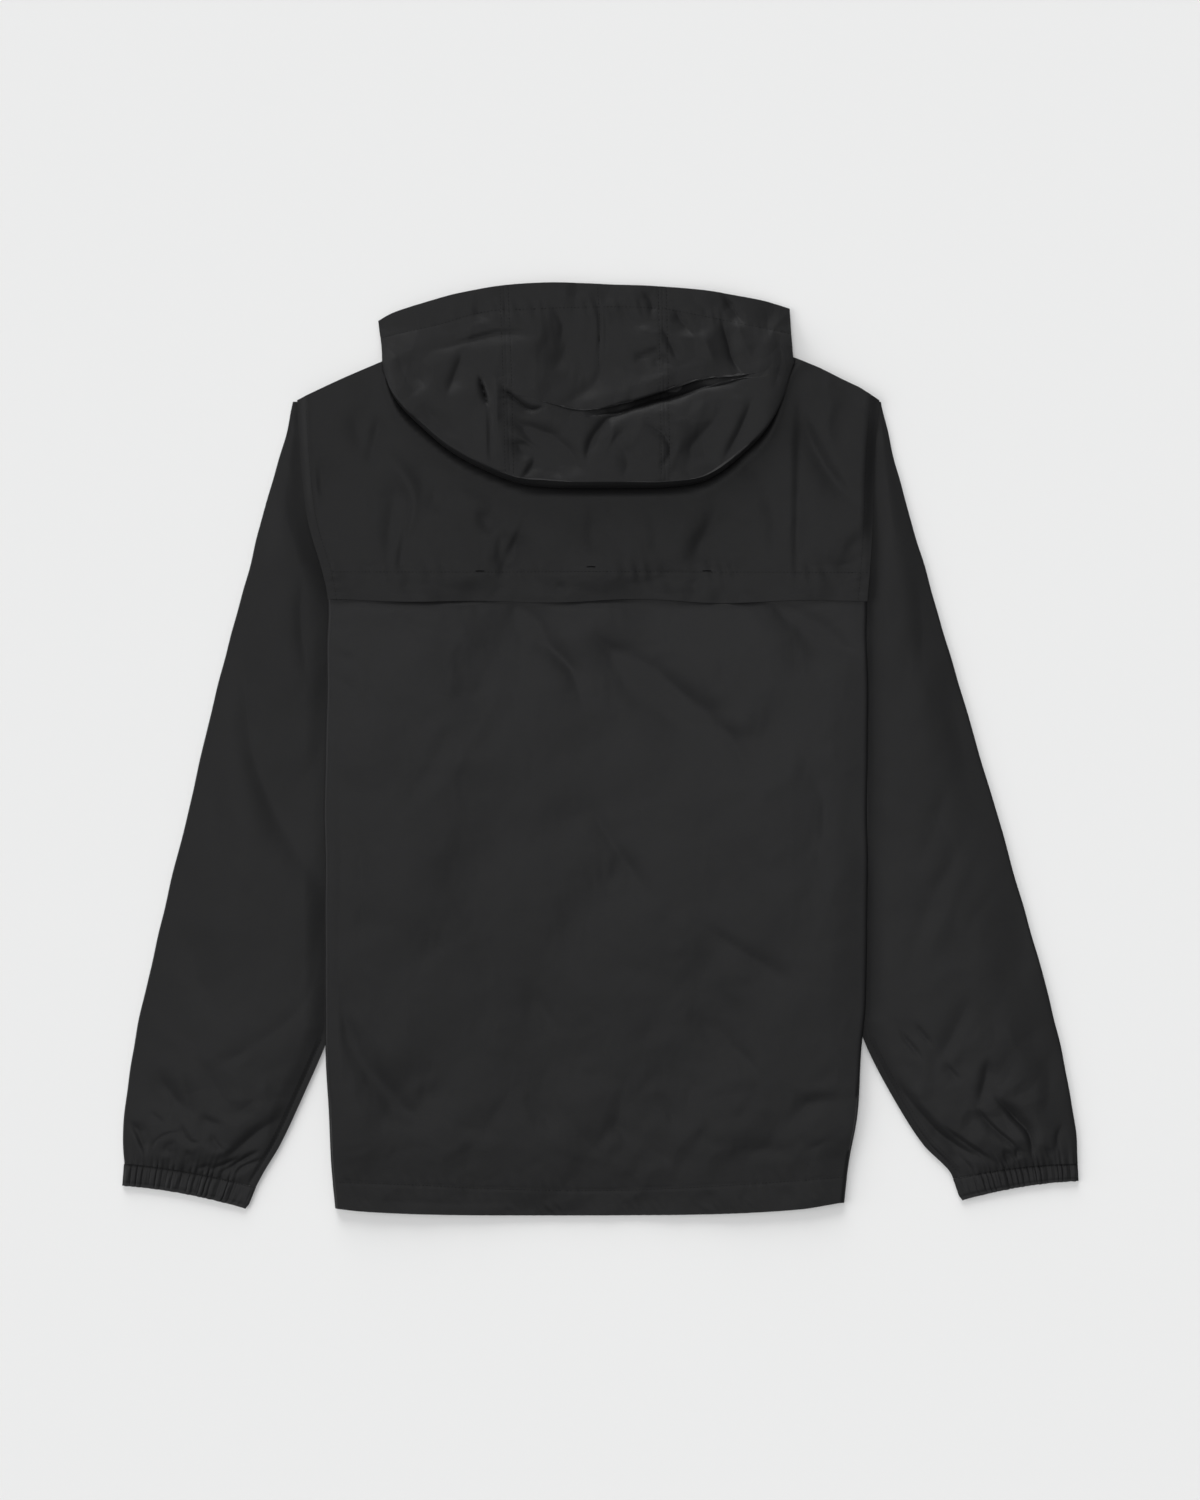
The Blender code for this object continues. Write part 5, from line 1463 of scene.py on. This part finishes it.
def teeth_tree(resin):
    """Teeth in two rows, each with a body on the tape and a head between its neighbours."""
    tree = bpy.data.node_groups.new("Zip teeth", "GeometryNodeTree")
    tree.interface.new_socket("Geometry", in_out="INPUT", socket_type="NodeSocketGeometry")
    for name in ("Half width", "Tooth length", "Tooth height", "Tooth pitch"):
        tree.interface.new_socket(name, in_out="INPUT", socket_type="NodeSocketFloat")
    tree.interface.new_socket("Geometry", in_out="OUTPUT", socket_type="NodeSocketGeometry")
    node = node_maker(tree)
    given = node("NodeGroupInput")
    line = node("GeometryNodeMeshToCurve", {"Mesh": given["Geometry"]})["Curve"]
    spaced = node("GeometryNodeResampleCurve", {"Curve": line, "Length": given["Tooth pitch"]},
                  mode="LENGTH")["Curve"]

    def times(socket, number):
        return node("ShaderNodeMath", {0: socket, 1: number}, operation="MULTIPLY")["Value"]

    rows = []
    for turn in (0.0, pi):
        blocks = []
        for far, wide, long in ((-0.62, 0.9, 1.3), (-0.02, 0.75, 0.8)):
            size = node("ShaderNodeCombineXYZ", {
                "X": times(given["Half width"], wide), "Y": times(given["Tooth length"], long),
                "Z": given["Tooth height"]})["Vector"]
            block = node("GeometryNodeMeshCube", {"Size": size})["Mesh"]
            soft = node("GeometryNodeSubdivisionSurface", {
                "Mesh": block, "Level": 1, "Edge Crease": 0.45})["Mesh"]
            place = node("ShaderNodeCombineXYZ", {"X": times(given["Half width"], far)})["Vector"]
            blocks.append(node("GeometryNodeTransform", {
                "Geometry": soft, "Translation": place})["Geometry"])
        joined = tree.nodes.new("GeometryNodeJoinGeometry")
        for block in blocks:
            tree.links.new(block, joined.inputs[0])
        tooth = node("GeometryNodeTransform", {
            "Geometry": joined.outputs[0], "Rotation": (0.0, 0.0, turn)})["Geometry"]
        shift = node("ShaderNodeCombineXYZ", {
            "Y": times(given["Tooth pitch"], 0.5 if turn else 0.0)})["Vector"]
        moved = node("GeometryNodeSetPosition", {"Geometry": spaced, "Offset": shift})["Geometry"]
        rows.append(node("GeometryNodeInstanceOnPoints", {
            "Points": moved, "Instance": tooth})["Instances"])
    both = tree.nodes.new("GeometryNodeJoinGeometry")
    for row in rows:
        tree.links.new(row, both.inputs[0])
    real = node("GeometryNodeRealizeInstances", {"Geometry": both.outputs[0]})["Geometry"]
    done = node("GeometryNodeSetMaterial", {"Geometry": real, "Material": resin})["Geometry"]
    node("NodeGroupOutput", {"Geometry": done})
    return tree


resin = Finish("black_resin", Specular_IOR_Level=0.5)
resin_place = resin.node("TexCoord", output=3)
resin_grain = resin.node("TexNoise", None, {0: resin_place, 2: 420.0, 3: 2.0}, 0)
resin_material = resin.end(
    Base_Color=resin.blend(resin_grain, (0.008, 0.008, 0.0085, 1.0), (0.014, 0.014, 0.0145, 1.0)),
    Roughness=0.3 + resin_grain * 0.15, Normal=resin.bump(resin_grain, 0.00005, 0.4))
chain_y = np.arange(ZIP_BOTTOM_Y + TOOTH_PITCH / 2.0, ZIP_TOP_Y - TOOTH_PITCH, TOOTH_PITCH)
chain_line = np.stack([np.full_like(chain_y, ZIP_X), chain_y,
                       zip_floor(chain_y) + CHAIN_THICK / 2.0], 1)
chain = grown("zip_chain_teeth", (chain_line - MIDDLE) * MM, teeth_tree(resin_material), {
    "Half width": CHAIN_HALF * MM, "Tooth length": 1.15 * MM, "Tooth height": CHAIN_THICK * MM,
    "Tooth pitch": TOOTH_PITCH * MM})
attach(chain, "root")
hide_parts("zip_chain")

metal = Finish("black_enamelled_zinc", Metallic=0.6, Specular_IOR_Level=0.5)
metal_place = metal.node("TexCoord", output=3)
metal_flow = metal.node("TexNoise", None, {0: metal_place, 2: 260.0, 3: 3.0}, 0)
worn_edge = metal.node("NewGeometry", output=7)
bright = metal.node("ValToRGB", {"stops": ((0.52, 0.0), (0.60, 1.0))}, (worn_edge,))
metal_material = metal.end(
    Base_Color=metal.blend(bright, (0.012, 0.012, 0.013, 1.0), (0.16, 0.16, 0.165, 1.0)),
    Roughness=0.28 + metal_flow * 0.2, Normal=metal.bump(metal_flow, 0.00004, 0.3))


def plate(form, low, high, sides):
    """A flat plate of a bmesh, from its outline as half widths along the slider."""
    outline = [(ZIP_X + wide, y) for y, wide in sides] + [(ZIP_X - wide, y) for y, wide in sides[::-1]]
    rings = [[form.verts.new(((x - MIDDLE[0]) * MM, (y - MIDDLE[1]) * MM, z * MM))
              for x, y in outline] for z in (low, high)]
    form.faces.new(rings[0][::-1])
    form.faces.new(rings[1])
    for k in range(len(outline)):
        after = (k + 1) % len(outline)
        form.faces.new((rings[0][k], rings[0][after], rings[1][after], rings[1][k]))


start, wide = ZIP_TOP_Y + GAP, SLIDER_WIDE / 2.0
end = start + SLIDER_LONG
face = ((start, wide * 0.72), (start + 1.2, wide * 0.84), (start + 5.0, wide), (end - 2.2, wide),
        (end - 0.6, wide * 0.8), (end, wide * 0.45))
form = bmesh.new()
for low in (ZIP_RISE, ZIP_RISE + SLIDER_THICK - 0.8):
    plate(form, low, low + 0.8, face)
plate(form, ZIP_RISE + 0.5, ZIP_RISE + SLIDER_THICK - 0.5, ((end - 5.0, 0.5), (end - 1.0, 1.8)))
for edge_side in (-1.0, 1.0):
    rim = [form.verts.new(((ZIP_X + edge_side * across_rim - MIDDLE[0]) * MM,
                           (y - MIDDLE[1]) * MM, z * MM))
           for z in (ZIP_RISE + 0.4, ZIP_RISE + 1.15)
           for y, across_rim in ((start + 1.0, wide * 0.66), (start + 1.0, wide * 0.82),
                                 (end - 3.0, wide * 0.99), (end - 3.0, wide * 0.84))]
    for corners in ((0, 1, 2, 3), (7, 6, 5, 4), (0, 4, 5, 1), (1, 5, 6, 2), (2, 6, 7, 3),
                    (3, 7, 4, 0)):
        form.faces.new([rim[c] for c in corners])
bmesh.ops.recalc_face_normals(form, faces=form.faces)
bmesh.ops.bevel(form, geom=form.edges[:], offset=0.22 * MM, segments=3, affect="EDGES",
                clamp_overlap=True)
slider_mesh = bpy.data.meshes.new("zip_slider_casting")
form.to_mesh(slider_mesh)
form.free()
slider_mesh.shade_smooth()
slider_mesh.set_sharp_from_angle(angle=0.7)
slider_mesh.materials.append(metal_material)
slider = bpy.data.objects.new("zip_slider_casting", slider_mesh)
bpy.context.scene.collection.objects.link(slider)
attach(slider, "root")
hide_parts("zip_slider")

pull_finish = webbing("black_webbing", (0.012, 0.012, 0.0125), 210.0)
pull_x = np.linspace(ZIP_X - PULL_WIDE / 2.0, ZIP_X + PULL_WIDE / 2.0, 13)
pull_y = np.linspace(start + PULL_HOLD, start + PULL_HOLD - PULL_LONG, 44)
grid_x, grid_y = np.meshgrid(pull_x, pull_y)
round_end = smooth((grid_y - pull_y[-1]) / 1.5) * 0.25 + 0.75
pull = ply("zip_pull_webbing", np.stack([
    ZIP_X + (grid_x - ZIP_X) * round_end, grid_y,
    PULL_THICK / 2.0 + 0.05 * np.sin(grid_x * 4.0)], 2), pull_finish, PULL_THICK / 2.0 - 0.08)
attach(pull, "root")
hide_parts("zip_pull")
